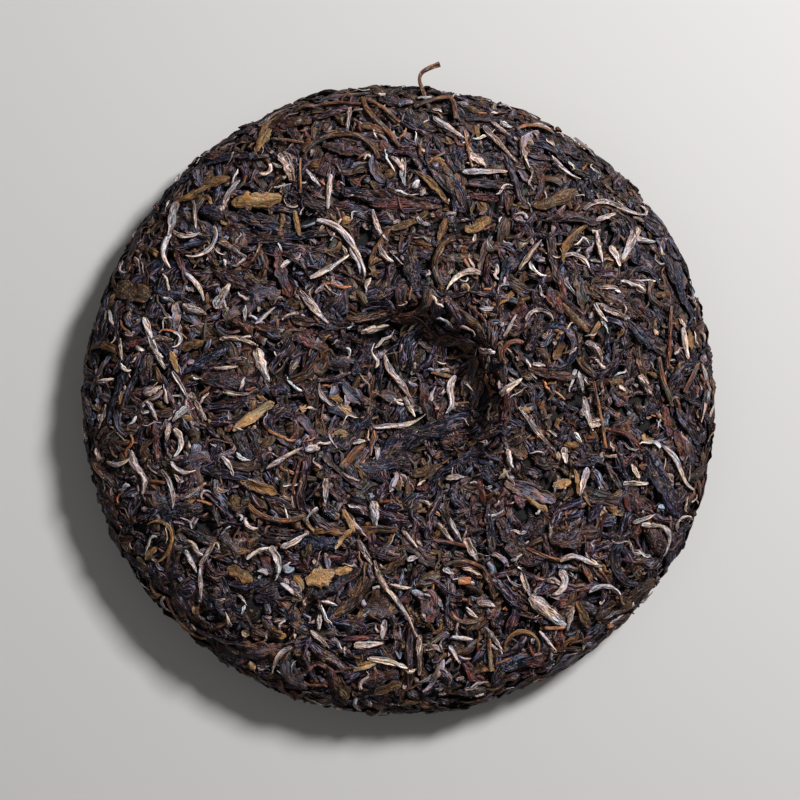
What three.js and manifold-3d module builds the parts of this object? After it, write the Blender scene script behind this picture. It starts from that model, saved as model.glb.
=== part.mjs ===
// A round cake of raw tea: whole leaves, buds and stems, steamed and pressed in a cloth bag into
// a flat disc. The knot of the bag leaves the dimple in the shown side. The cake is one solid: a
// core covered with leaf-sized ridges, with the leaves that stand out of it fused on. Millimetres,
// +Z up, dimple up, resting spot on z = 0.

import * as THREE from "three";
import { ConvexHull } from "three/addons/math/ConvexHull.js";
import { mergeVertices } from "three/addons/utils/BufferGeometryUtils.js";
import Module from "manifold-3d";

// The cake's profile, out to the tips of the leaves.
const CAKE_RADIUS = 100;
const EDGE_HEIGHT = 10; // height of the widest line above the resting spot
const CROWN_RISE = 14.2; // from the widest line up to the crown
const CROWN_POWER = 6; // how squarely the crown turns over into the edge
const BELLY_DROP = 10.15; // from the widest line down, cut flat by the resting spot
const BELLY_POWER = 4;
const DIMPLE_DEPTH = 11;
const DIMPLE_LIP_RADIUS = 33;
const DIMPLE_WALL = 14; // width of the sloping wall between the lip and the floor
const DIMPLE_CENTRE = [1, 0];
const PROFILE_STEPS = 400;

// The outline isn't quite round: waves round the edge as [waves, height in mm, phase in degrees].
const OUTLINE_WAVES = [
  [1, 0.24, -144],
  [2, 0.3, 26],
  [3, 0.25, -61],
  [5, 0.42, -139],
];

// Ridges of leaf size cover the core. Each has a crest and a foot on both sides, and the feet of
// neighbouring ridges are shared. The longest are laid first, at random places with room for them.
const RIDGE_TRIES = 26000;
const RIDGE_LENGTH = [22, 5];
const RIDGE_HALF_WIDTH = [2.7, 1.8];
const RIDGE_STEP = 4.4; // between the points along a crest
const RIDGE_BEND = 70;
const CREST_ROOM = 2.9; // least distance from a crest to any other point
const FOOT_ROOM = 2.5;
const CREST_DEPTH = 0.35; // below the tips of the leaves
const CREST_SPREAD = 0.4;
const FOOT_DEPTH = 1.9;
const FOOT_SPREAD = 0.4;
const MOST_POINTS = 4250;
const DIMPLE_ZONE = 40; // within this distance of the dimple's middle the ridges are short
const DIMPLE_SHORTENING = 0.5;

// The resting spot is a flat disc in the middle of the underside.
const REST_RADIUS = 41;
const REST_RINGS = [
  [REST_RADIUS, 46],
  [24, 20],
  [8, 6],
];
const REST_BLEND = 15; // the ridges come up to full height over this distance from the spot

// A leaf that stands out is a few-sided spindle bent over the ridges.
const LEAF_SIDES = 4;
const LEAF_STATIONS = 5;
const LEAF_DEPTH = 0.65; // its middle line below the tips of the leaves
const LEAF_TAPER = 0.6;
const LEAF_FLATNESS = 0.3; // thickness above the middle line, against width
const LEAST_THICKNESS = 0.8;
const MOST_THICKNESS = 1.2;
const KEEL_DEPTH = 1.8; // the underside reaches this many thicknesses down, to bite into the core

// Leaves seen on the shown side: [x, y, heading, length, width, bend, sway], angles in degrees.
// Heading is the direction at the middle, bend the whole turn, and sway makes an S of it.
const SHOWN_LEAVES = [
  // pale buds
  [-77, 18, -65, 18, 2, 10, -5],
  [-59, 47, -137, 16, 1.6, -130, -5],
  [-74, 47, -91, 13, 2, 95, 0],
  [-22, 41, 29, 14, 2, 15, 0],
  [-16, 50, -48, 24, 2.2, -85, -5],
  [-26, 29, -48, 11, 2, 25, 0],
  [19, 39, -155, 13, 2, 90, 0],
  [26, 71, -2, 14, 1.8, 0, 0],
  [67, 61, 1, 23, 1.8, -40, -25],
  [34, 4, 36, 9, 2, 0, 0],
  [87, -21, -48, 19, 1.8, 5, -15],
  [-43, 11, -69, 11, 3, 25, 0],
  [-80, -23, -69, 14, 2.2, -50, 30],
  [-8, 22, 13, 9, 2.5, 0, 0],
  [-1, 6, -64, 17, 1.8, 35, 10],
  [-2, -61, -58, 28, 1.8, 10, 10],
  [-4, -81, -16, 13, 2, -30, 0],
  [46, -65, -38, 14, 3, 5, 0],
  [84, -42, -63, 14, 1.6, -145, -5],
  // broad leaves
  [-44, 62, 0, 14, 4, 0, 0],
  [-34, 71, -73, 10, 4, 0, 0],
  [47, 62, 20, 16, 4, 25, 0],
  [53, 50, -125, 15, 2.5, 65, 0],
  [-41, -3, 13, 12, 3, -65, 0],
  [-50, -54, -23, 8, 3.5, 0, 0],
  [-25, -55, 36, 9, 6, 0, 0],
  [67, 31, -30, 16, 6, 0, 0],
  [53, 28, -45, 17, 4, 15, 0],
  [88, 40, -66, 20, 3.5, -30, 0],
  [4, 40, -75, 11, 5, 0, 0],
  [6, -10, 25, 33, 5, -20, -5],
  // hoops and arches
  [-69, -42, -68, 19, 1.5, -220, -25],
  [40, -72, -11, 18, 1.5, -230, 0],
  [-18, 84, -4, 29, 1.6, -130, 5],
  [55, 18, -68, 25, 2, -235, -15],
  [11, 44, -107, 20, 1.8, 115, 0],
];

// One stem sticks out past the edge at the top of the picture.
const STEM_WIDTH = 1.6;
const STEM_STATIONS = 8;
const STEM_LINE = [
  [10, 90, 17.2],
  [6.9, 97, 15.4],
  [5.8, 101.3, 14.4],
  [12.4, 105.4, 13.4],
];

const SEED = 357;
const wasm = await Module();
wasm.setup();

let state = SEED;
function random() {
  state = (state + 0x6d2b79f5) | 0;
  let t = Math.imul(state ^ (state >>> 15), 1 | state);
  t = (t + Math.imul(t ^ (t >>> 7), 61 | t)) ^ t;
  return ((t ^ (t >>> 14)) >>> 0) / 4294967296;
}

const swing = () => 2 * random() - 1;
const radians = THREE.MathUtils.degToRad;
const smooth = (value) => THREE.MathUtils.smoothstep(value, 0, 1);

function outline(angle) {
  const waves = OUTLINE_WAVES.map(([count, height, phase]) => height * Math.cos(count * angle - radians(phase)));
  return 1 + waves.reduce((sum, wave) => sum + wave, 0) / CAKE_RADIUS;
}

// Heights of the two faces at a radius, without the dimple.
const crown = (r) => EDGE_HEIGHT + CROWN_RISE * Math.sqrt(Math.max(0, 1 - (r / CAKE_RADIUS) ** CROWN_POWER));
const belly = (r) => Math.max(0, EDGE_HEIGHT - BELLY_DROP * Math.sqrt(Math.max(0, 1 - (r / CAKE_RADIUS) ** BELLY_POWER)));

function dimple(x, y) {
  const r = Math.hypot(x - DIMPLE_CENTRE[0], y - DIMPLE_CENTRE[1]);
  return DIMPLE_DEPTH * smooth((DIMPLE_LIP_RADIUS - r) / DIMPLE_WALL);
}

// The profile from the middle of the shown face over the edge to the middle of the underside,
// with the share of the cake's skin that lies before each point.
function profileTable() {
  const points = [];
  for (const face of [crown, belly]) {
    for (let i = 0; i <= PROFILE_STEPS; i++) {
      const turn = (Math.PI / 2) * (i / PROFILE_STEPS);
      const r = CAKE_RADIUS * (face === crown ? Math.sin(turn) : Math.cos(turn));
      points.push({ r, z: face(r), share: 0 });
    }
  }
  for (let i = 1; i < points.length; i++) {
    const [a, b] = [points[i - 1], points[i]];
    b.share = a.share + (a.r + b.r) * Math.hypot(b.r - a.r, b.z - a.z);
  }
  const whole = points.at(-1).share;
  points.forEach((point) => (point.share /= whole));
  return points;
}

const DIMPLE_FLOOR = new THREE.Vector3(...DIMPLE_CENTRE, crown(0) - DIMPLE_DEPTH);
const profile = profileTable();
const lastRow = profile.length - 1;

// A point of the skin: a row of the profile at an angle round the cake.
function skinPoint(row, angle) {
  const r = profile[row].r * outline(angle);
  const [x, y] = [r * Math.cos(angle), r * Math.sin(angle)];
  const sunk = row <= PROFILE_STEPS ? dimple(x, y) : 0;
  return new THREE.Vector3(x, y, profile[row].z - sunk);
}

function skinNormal(row, angle) {
  const along = skinPoint(Math.min(row + 3, lastRow), angle).sub(skinPoint(Math.max(row - 3, 0), angle));
  const round = new THREE.Vector3(-Math.sin(angle), Math.cos(angle), 0);
  return along.cross(round).normalize();
}

const skinAt = (row, angle) => ({ row, angle, point: skinPoint(row, angle), normal: skinNormal(row, angle) });

// The place on the skin nearest to a point, searched in the section through it.
function settle(point) {
  const angle = Math.atan2(point.y, point.x);
  const r = Math.hypot(point.x, point.y) / outline(angle);
  const [across, up] = [Math.cos(angle), Math.sin(angle)];
  let best = 0;
  let least = Infinity;
  for (let row = 0; row <= lastRow; row++) {
    const spot = profile[row];
    const sunk = row <= PROFILE_STEPS ? dimple(spot.r * across, spot.r * up) : 0;
    const gap = (spot.r - r) ** 2 + (spot.z - sunk - point.z) ** 2;
    if (gap < least) [least, best] = [gap, row];
  }
  return skinAt(best, angle);
}

function randomPlace() {
  const share = random();
  const row = profile.findIndex((spot) => spot.share >= share);
  return skinAt(row, 2 * Math.PI * random());
}

// A line laid on the skin: it turns evenly as it runs, and sways once for an S. The middle of the
// line is at its home place.
function layLine(home, heading, length, bend, sway, steps) {
  const east = new THREE.Vector3(-Math.sin(home.angle), Math.cos(home.angle), 0);
  const north = home.normal.clone().cross(east);
  const flat = [new THREE.Vector2()];
  for (let i = 0; i < steps; i++) {
    const part = (i + 0.5) / steps - 0.5;
    const turn = radians(heading + bend * part + sway * Math.cos(2 * Math.PI * part));
    flat.push(new THREE.Vector2(Math.cos(turn), Math.sin(turn)).multiplyScalar(length / steps).add(flat[i]));
  }
  const balance = flat.reduce((sum, spot) => sum.add(spot), new THREE.Vector2()).divideScalar(flat.length);
  return flat.map((spot) =>
    settle(home.point.clone().addScaledVector(east, spot.x - balance.x).addScaledVector(north, spot.y - balance.y)),
  );
}

// Points already placed, in cells for quick distance tests.
function pointCloud(cell) {
  const cells = new Map();
  const key = (x, y, z) => x + "," + y + "," + z;
  const split = (point) => [point.x, point.y, point.z].map((value) => Math.floor(value / cell));
  return {
    add(point) {
      const name = key(...split(point));
      if (!cells.has(name)) cells.set(name, []);
      cells.get(name).push(point);
    },
    isFree(point, room) {
      const [i, j, k] = split(point);
      for (let a = i - 1; a <= i + 1; a++)
        for (let b = j - 1; b <= j + 1; b++)
          for (let c = k - 1; c <= k + 1; c++)
            if (cells.get(key(a, b, c))?.some((other) => other.distanceTo(point) < room)) return false;
      return true;
    },
  };
}

// All points of the core, each with its place on the skin and its depth below the leaf tips.
function corePoints() {
  const points = [];
  const cloud = pointCloud(CREST_ROOM);
  const put = (place, depth) => {
    points.push({ ...place, depth });
    cloud.add(place.point);
  };
  const restRow = (r) => lastRow - profile.toReversed().findIndex((spot) => spot.r >= r);
  for (const [radius, count] of REST_RINGS)
    for (let i = 0; i < count; i++) put(skinAt(restRow(radius), (2 * Math.PI * i) / count), 0);
  for (let i = 0; i < RIDGE_TRIES && points.length < MOST_POINTS; i++) {
    const spent = i / RIDGE_TRIES;
    const length = THREE.MathUtils.lerp(...RIDGE_LENGTH, Math.sqrt(spent)) * (1 + 0.2 * swing());
    const half = THREE.MathUtils.lerp(...RIDGE_HALF_WIDTH, spent) * (1 + 0.2 * swing());
    const home = randomPlace();
    const inDimple = home.row <= PROFILE_STEPS && home.point.distanceTo(DIMPLE_FLOOR) < DIMPLE_ZONE;
    const run = inDimple ? length * DIMPLE_SHORTENING : length;
    const steps = Math.max(1, Math.round(run / RIDGE_STEP));
    const crest = layLine(home, 360 * random(), run, RIDGE_BEND * swing(), 0, steps);
    const onRest = crest.some(({ row, point }) => row > PROFILE_STEPS && Math.hypot(point.x, point.y) < REST_RADIUS + half);
    if (onRest || !crest.every(({ point }) => cloud.isFree(point, CREST_ROOM))) continue;
    const height = CREST_DEPTH + CREST_SPREAD * swing();
    const feet = crest.flatMap(({ point, normal }, j) => {
      const ahead = crest[Math.min(j + 1, steps)].point.clone().sub(crest[Math.max(j - 1, 0)].point);
      const side = normal.clone().cross(ahead).normalize();
      return [-half, half].map((reach) => settle(point.clone().addScaledVector(side, reach)));
    });
    crest.forEach((place) => put(place, height));
    feet.forEach((place) => {
      if (cloud.isFree(place.point, FOOT_ROOM * 0.8)) put(place, FOOT_DEPTH + FOOT_SPREAD * swing());
    });
  }
  return points;
}

function closedSolid(geometry) {
  geometry.deleteAttribute("normal");
  geometry.deleteAttribute("uv");
  const merged = mergeVertices(geometry, 1e-4);
  return new wasm.Manifold(
    new wasm.Mesh({
      numProp: 3,
      vertProperties: new Float32Array(merged.attributes.position.array),
      triVerts: new Uint32Array(merged.index.array),
    }),
  );
}

// The core: its points are spread over a ball by their share of the skin, the hull of the ball
// gives the triangles between them, and each point then goes to its place.
function core() {
  const points = corePoints();
  const ball = points.map(({ row, angle }) => {
    const z = 1 - 2 * profile[row].share;
    const r = Math.sqrt(1 - z * z);
    return new THREE.Vector3(r * Math.cos(angle), r * Math.sin(angle), z);
  });
  const order = new Map(ball.map((point, index) => [point, index]));
  const triangles = [];
  for (const face of new ConvexHull().setFromPoints(ball).faces)
    for (let i = 0; i < 3; i++) triangles.push(order.get(face.getEdge(i).head().point));
  const spots = points.flatMap(({ row, point, normal, depth }) => {
    const under = row > PROFILE_STEPS ? smooth((Math.hypot(point.x, point.y) - REST_RADIUS) / REST_BLEND) : 1;
    const spot = point.clone().addScaledVector(normal, -depth * under);
    return [spot.x, spot.y, Math.max(0, spot.z)];
  });
  const geometry = new THREE.BufferGeometry();
  geometry.setAttribute("position", new THREE.Float32BufferAttribute(spots, 3));
  geometry.setIndex(triangles);
  return closedSolid(geometry);
}

// A spindle whose middle line runs through the stations, each with its point and outward normal.
function spindle(stations, width, thickness) {
  const geometry = new THREE.SphereGeometry(1, LEAF_SIDES, stations.length - 1);
  const place = geometry.attributes.position;
  const last = stations.length - 1;
  for (let i = 0; i < place.count; i++) {
    const row = Math.floor(i / (LEAF_SIDES + 1));
    const turn = (2 * Math.PI * (i % (LEAF_SIDES + 1))) / LEAF_SIDES;
    const swell = Math.sin((Math.PI * row) / last) ** LEAF_TAPER;
    const lift = Math.sin(turn) < 0 ? KEEL_DEPTH * Math.sin(turn) : Math.sin(turn);
    const { point, normal } = stations[row];
    const ahead = stations[Math.min(last, row + 1)].point.clone().sub(stations[Math.max(0, row - 1)].point);
    const side = normal.clone().cross(ahead).normalize();
    const up = ahead.cross(side).normalize();
    const vertex = point.clone().addScaledVector(side, -0.5 * width * swell * Math.cos(turn));
    vertex.addScaledVector(up, thickness * swell * lift);
    place.setXYZ(i, vertex.x, vertex.y, vertex.z);
  }
  return closedSolid(geometry);
}

function shownLeaf([x, y, heading, length, width, bend, sway]) {
  const home = settle(new THREE.Vector3(x, y, crown(Math.hypot(x, y)) - dimple(x, y)));
  const fromEast = heading - THREE.MathUtils.radToDeg(home.angle) - 90;
  const stations = layLine(home, fromEast, length, bend, sway, LEAF_STATIONS).map(({ point, normal }) => ({
    point: point.addScaledVector(normal, -LEAF_DEPTH),
    normal,
  }));
  return spindle(stations, width, THREE.MathUtils.clamp(LEAF_FLATNESS * width, LEAST_THICKNESS, MOST_THICKNESS));
}

function looseStem() {
  const line = new THREE.CatmullRomCurve3(STEM_LINE.map((spot) => new THREE.Vector3(...spot)));
  const stations = line.getPoints(STEM_STATIONS).map((point) => ({ point, normal: new THREE.Vector3(0, 0, 1) }));
  return spindle(stations, STEM_WIDTH, STEM_WIDTH / 2);
}

// Cuts off what would reach below the resting spot.
function groundBlock() {
  const size = 4 * CAKE_RADIUS;
  const block = new THREE.BoxGeometry(size, size, EDGE_HEIGHT);
  block.translate(0, 0, -EDGE_HEIGHT / 2);
  return closedSolid(block);
}

// A scrap left loose by the joins is dropped.
function largestBody(solid) {
  return solid.decompose().sort((a, b) => b.volume() - a.volume())[0];
}

function cake() {
  const pieces = [...SHOWN_LEAVES.map(shownLeaf), looseStem()];
  const joined = pieces.reduce((solid, piece) => solid.add(piece), core());
  const { vertProperties, triVerts } = largestBody(joined.subtract(groundBlock())).getMesh();
  const geometry = new THREE.BufferGeometry();
  geometry.setAttribute("position", new THREE.BufferAttribute(vertProperties, 3));
  geometry.setIndex(new THREE.BufferAttribute(triVerts, 1));
  geometry.computeVertexNormals();
  const tea = new THREE.MeshStandardMaterial({ color: 0x413737, roughness: 0.6, metalness: 0 });
  const mesh = new THREE.Mesh(geometry, tea);
  mesh.name = "tea_cake";
  return mesh;
}

const model = new THREE.Group();
model.add(cake());

export default model;
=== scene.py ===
import math

import bpy
import numpy as np
from mathutils.kdtree import KDTree
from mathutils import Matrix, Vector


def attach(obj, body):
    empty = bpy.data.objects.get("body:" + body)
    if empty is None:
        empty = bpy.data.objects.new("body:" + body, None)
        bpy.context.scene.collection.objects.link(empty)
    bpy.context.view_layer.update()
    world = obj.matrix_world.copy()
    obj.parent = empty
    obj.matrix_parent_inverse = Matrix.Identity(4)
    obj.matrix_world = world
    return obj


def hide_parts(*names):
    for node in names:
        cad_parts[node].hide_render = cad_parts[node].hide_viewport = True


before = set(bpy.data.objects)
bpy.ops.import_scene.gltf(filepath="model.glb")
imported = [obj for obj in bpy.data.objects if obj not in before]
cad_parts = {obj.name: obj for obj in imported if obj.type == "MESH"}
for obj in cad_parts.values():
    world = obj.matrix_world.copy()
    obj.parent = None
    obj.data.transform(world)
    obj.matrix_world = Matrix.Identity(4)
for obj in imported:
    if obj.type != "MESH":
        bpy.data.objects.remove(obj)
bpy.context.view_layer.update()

# Heart of the cake
# Behind the leaves that show, the same tea is pressed into one dark mass. It only shows at the
# bottom of the gaps, as small dark lumps, and is coloured near-black there as painted shade for the
# gaps. Its form is the cake's, sunk beneath the leaves.
MM = 0.001
CAKE_RADIUS = 100.0
EDGE_HEIGHT = 10.0
CROWN_RISE = 14.2
CROWN_POWER = 6
BELLY_DROP = 10.15
BELLY_POWER = 4
DIMPLE_DEPTH = 11.0
DIMPLE_LIP_RADIUS = 33.0
DIMPLE_WALL = 14.0
DIMPLE_OFFSET = 1.0
OFFSET_FADE = (34.0, 74.0)
PROFILE_STEPS = 800
HEART_SINK = 3.1
HEART_LUMPS = 0.5
HEART_LUMP_LENGTH = 5.0
HEART_LUMP_SEED = 3
HEART_RINGS = 110
HEART_SPOKES = 150
RIPPLE_WAVES = 10
RIPPLE_SPREAD = (0.7, 1.5)
RIPPLE_FULL = 4
DUST_GRAIN = 420.0
DUST_DETAIL = 3.0
DUST_RELIEF = 0.6
DUST_STRENGTH = 0.8
DUST_ROUGHNESS = 0.9

# The edge isn't quite round. Each wave has its count round the edge, its height and its turn.
OUTLINE_WAVES = ((1, 0.24, -144), (2, 0.3, 26), (3, 0.25, -61), (5, 0.42, -139))


def smooth(value):
    """Rises from 0 to 1 without a corner."""
    value = np.clip(value, 0, 1)
    return value * value * (3 - 2 * value)


def outline(angle):
    """How far out the edge lies at this angle, as a share of the cake's radius."""
    waves = [height * np.cos(count * angle - math.radians(phase)) for count, height, phase in OUTLINE_WAVES]
    return 1 + sum(waves) / CAKE_RADIUS


def dimple_shift(r):
    """The dimple isn't quite in the middle. The shift fades out towards the edge."""
    return DIMPLE_OFFSET * (1 - smooth((r - OFFSET_FADE[0]) / (OFFSET_FADE[1] - OFFSET_FADE[0])))


# The profile runs from the middle of the shown face over the edge to the middle of the underside
turn = np.linspace(0, np.pi / 2, PROFILE_STEPS + 1)
shown_r = CAKE_RADIUS * np.sin(turn)
shown_z = EDGE_HEIGHT + CROWN_RISE * np.sqrt(np.clip(1 - (shown_r / CAKE_RADIUS) ** CROWN_POWER, 0, 1))
shown_z -= DIMPLE_DEPTH * smooth((DIMPLE_LIP_RADIUS - shown_r) / DIMPLE_WALL)
under_r = CAKE_RADIUS * np.cos(turn)
under_z = EDGE_HEIGHT - BELLY_DROP * np.sqrt(np.clip(1 - (under_r / CAKE_RADIUS) ** BELLY_POWER, 0, 1))
profile = np.vstack([np.column_stack([shown_r, shown_z]), np.column_stack([under_r, under_z])[1:]])
profile[:, 1] = np.maximum(profile[:, 1], 0)
run = np.concatenate([[0], np.cumsum(np.hypot(*np.diff(profile, axis=0).T))])
whole_run = run[-1]
edge_run = run[PROFILE_STEPS]
slope = np.gradient(profile, run, axis=0)
ring_area = np.diff(run) * (profile[1:, 0] + profile[:-1, 0])
area_share = np.concatenate([[0], np.cumsum(ring_area)]) / ring_area.sum()


def along_skin(side, u, v):
    """Distance over the skin from the middle of the shown face. u, v is a place on a map laid out
    from the middle of the face that side names: 1 for the shown one, -1 for the underside."""
    reach = np.hypot(u, v)
    return np.where(side > 0, reach, whole_run - reach)


def on_skin(side, u, v):
    """Point of the skin and its outward normal, in millimetres."""
    s = along_skin(side, u, v)
    angle = np.arctan2(v, u)
    r = np.interp(s, run, profile[:, 0])
    z = np.interp(s, run, profile[:, 1])
    rise = np.interp(s, run, slope[:, 1])
    grow = np.interp(s, run, slope[:, 0])
    across = np.cos(angle)
    up = np.sin(angle)
    wave = outline(angle)
    shift = np.where(s < edge_run, dimple_shift(r), 0)
    point = np.stack([r * across * wave + shift, r * up * wave, z], -1)
    normal = np.stack([-rise * across, -rise * up, grow], -1)
    return point, normal / np.linalg.norm(normal, axis=-1, keepdims=True)


def ripple(points, length, seed):
    """Smooth unevenness from -1 to 1 with waves of about this length in millimetres."""
    draw = np.random.default_rng(seed)
    ways = draw.normal(size=(RIPPLE_WAVES, 3))
    pitch = 2 * np.pi / length / draw.uniform(*RIPPLE_SPREAD, RIPPLE_WAVES)
    ways *= (pitch / np.linalg.norm(ways, axis=1))[:, None]
    waves = np.sin(points @ ways.T + draw.uniform(0, 2 * np.pi, RIPPLE_WAVES))
    return np.clip(waves.sum(-1) / RIPPLE_FULL, -1, 1)


def pigment(red, green, blue):
    """A colour given in display values from 0 to 255, turned linear by the standard display curve."""
    parts = np.array([red, green, blue]) / 255
    linear = np.where(parts <= 0.04045, parts / 12.92, ((parts + 0.055) / 1.055) ** 2.4)
    return (*(float(part) for part in linear), 1.0)


class Thread:
    """A node's output. Arithmetic on it adds the Math node, or Vector Math where it is a vector."""

    def __init__(self, bench, socket):
        self.bench = bench
        self.socket = socket

    def _join(self, operation, first, second):
        vectors = [
            isinstance(x, tuple) or (isinstance(x, Thread) and x.socket.type in ("VECTOR", "RGBA"))
            for x in (first, second)
        ]
        if not any(vectors):
            return self.bench.add("ShaderNodeMath", {"operation": operation}, {0: first, 1: second})
        if all(vectors):
            return self.bench.add("ShaderNodeVectorMath", {"operation": operation}, {0: first, 1: second})
        vector, number = (first, second) if vectors[0] else (second, first)
        return self.bench.add("ShaderNodeVectorMath", {"operation": "SCALE"}, {0: vector, "Scale": number})

    def __add__(self, other):
        return self._join("ADD", self, other)

    __radd__ = __add__

    def __mul__(self, other):
        return self._join("MULTIPLY", self, other)

    __rmul__ = __mul__

    def __sub__(self, other):
        return self._join("SUBTRACT", self, other)

    def __rsub__(self, other):
        return self._join("SUBTRACT", other, self)

    def __truediv__(self, other):
        return self * (1 / other)

    def __pow__(self, other):
        return self._join("POWER", self, other)

    def __abs__(self):
        return self.bench.add("ShaderNodeMath", {"operation": "ABSOLUTE"}, {0: self})


class Bench:
    """Adds nodes to one tree, for materials and for shapes alike."""

    def __init__(self, tree):
        self.tree = tree

    def add(self, kind, settings=None, sockets=None, output=0):
        """A node of this type, with its settings and then the values or threads of its sockets."""
        node = self.tree.nodes.new(kind)
        for name, value in (settings or {}).items():
            if name == "stops":
                ramp = node.color_ramp.elements
                while len(ramp) < len(value):
                    ramp.new(1.0)
                for stop, (place, colour) in zip(ramp, value):
                    stop.position = place
                    stop.color = colour
            else:
                setattr(node, name, value)
        for key, value in (sockets or {}).items():
            if isinstance(value, Thread):
                self.tree.links.new(value.socket, node.inputs[key])
            else:
                node.inputs[key].default_value = value
        if isinstance(output, tuple):
            return [Thread(self, node.outputs[number]) for number in output]
        return Thread(self, node.outputs[output]) if node.outputs else node

    def mix(self, factor, first, second):
        """Blends from the first colour to the second."""
        return self.add("ShaderNodeMix", {"data_type": "RGBA"}, {0: factor, 6: first, 7: second}, output=2)

    def span(self, value, low, high, start=0.0, end=1.0):
        """Maps low to high onto start to end and stops there."""
        sockets = {"Value": value, "From Min": low, "From Max": high, "To Min": start, "To Max": end}
        return self.add("ShaderNodeMapRange", None, sockets)


def new_finish(name):
    """An empty material, with its bench."""
    material = bpy.data.materials.new(name)
    material.use_nodes = True
    material.node_tree.nodes.clear()
    return material, Bench(material.node_tree)


def close_finish(bench, colour, roughness, normal, **fixed):
    """Ends a material in its shader. The fixed values go straight on the shader's sockets."""
    sockets = {"Base Color": colour, "Roughness": roughness, "Normal": normal, **fixed}
    shader = bench.add("ShaderNodeBsdfPrincipled", None, sockets)
    bench.add("ShaderNodeOutputMaterial", None, {"Surface": shader})


def new_mesh_object(name, vertices, faces):
    """A mesh from its points in metres and its faces."""
    mesh = bpy.data.meshes.new(name)
    mesh.from_pydata(vertices, [], faces)
    piece = bpy.data.objects.new(name, mesh)
    bpy.context.scene.collection.objects.link(piece)
    return piece


def fit_to_cake(piece):
    """The piece belongs to the one body and stands for part of the cake's solid."""
    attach(piece, "root")
    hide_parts("tea_cake")


# The heart is rings of points, evenly spread over the skin's area, with a pole on each face
ring_share = (np.arange(1, HEART_RINGS) / HEART_RINGS)[:, None]
spoke_angle = (2 * np.pi * np.arange(HEART_SPOKES) / HEART_SPOKES)[None, :] + np.zeros((HEART_RINGS - 1, 1))
ring_run = np.interp(ring_share, area_share, run) + np.zeros((1, HEART_SPOKES))
point, normal = on_skin(1, ring_run * np.cos(spoke_angle), ring_run * np.sin(spoke_angle))
lumps = HEART_LUMPS * ripple(point, HEART_LUMP_LENGTH, HEART_LUMP_SEED)
point -= (HEART_SINK - lumps)[..., None] * normal
crown_middle, _ = on_skin(1, 0.0, 0.0)
belly_middle, _ = on_skin(-1, 0.0, 0.0)
poles = [crown_middle - (0, 0, HEART_SINK), belly_middle + (0, 0, HEART_SINK)]
heart_points = np.vstack([point.reshape(-1, 3), poles]) * MM
top_pole = len(heart_points) - 2
heart_faces = []
for spoke in range(HEART_SPOKES):
    beside = (spoke + 1) % HEART_SPOKES
    heart_faces.append((top_pole, spoke, beside))
    for ring in range(HEART_RINGS - 2):
        here = ring * HEART_SPOKES
        below = here + HEART_SPOKES
        heart_faces.append((here + spoke, below + spoke, below + beside, here + beside))
    last = (HEART_RINGS - 2) * HEART_SPOKES
    heart_faces.append((top_pole + 1, last + beside, last + spoke))
heart = new_mesh_object("tea_heart", heart_points, heart_faces)
heart.data.shade_smooth()

finish, bench = new_finish("tea_heart_shade")
place = bench.add("ShaderNodeTexCoord", output=3)
clump_sockets = {"Vector": place, "Scale": DUST_GRAIN, "Detail": DUST_DETAIL}
clumps = bench.add("ShaderNodeTexNoise", None, clump_sockets)
# Partly the tea's own dark brown, partly near-black painted shade for the bottoms of the gaps
heart_shade_stops = [(0.35, pigment(4, 3, 4)), (0.6, pigment(14, 10, 11)), (0.8, pigment(36, 27, 25))]
heart_shade_colour = bench.add("ShaderNodeValToRGB", {"stops": heart_shade_stops}, {"Fac": clumps})
grit_sockets = {"Strength": DUST_STRENGTH, "Distance": DUST_RELIEF * MM, "Height": clumps}
grit = bench.add("ShaderNodeBump", None, grit_sockets)
close_finish(bench, heart_shade_colour, DUST_ROUGHNESS, grit)
heart.data.materials.append(finish)
fit_to_cake(heart)
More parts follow.
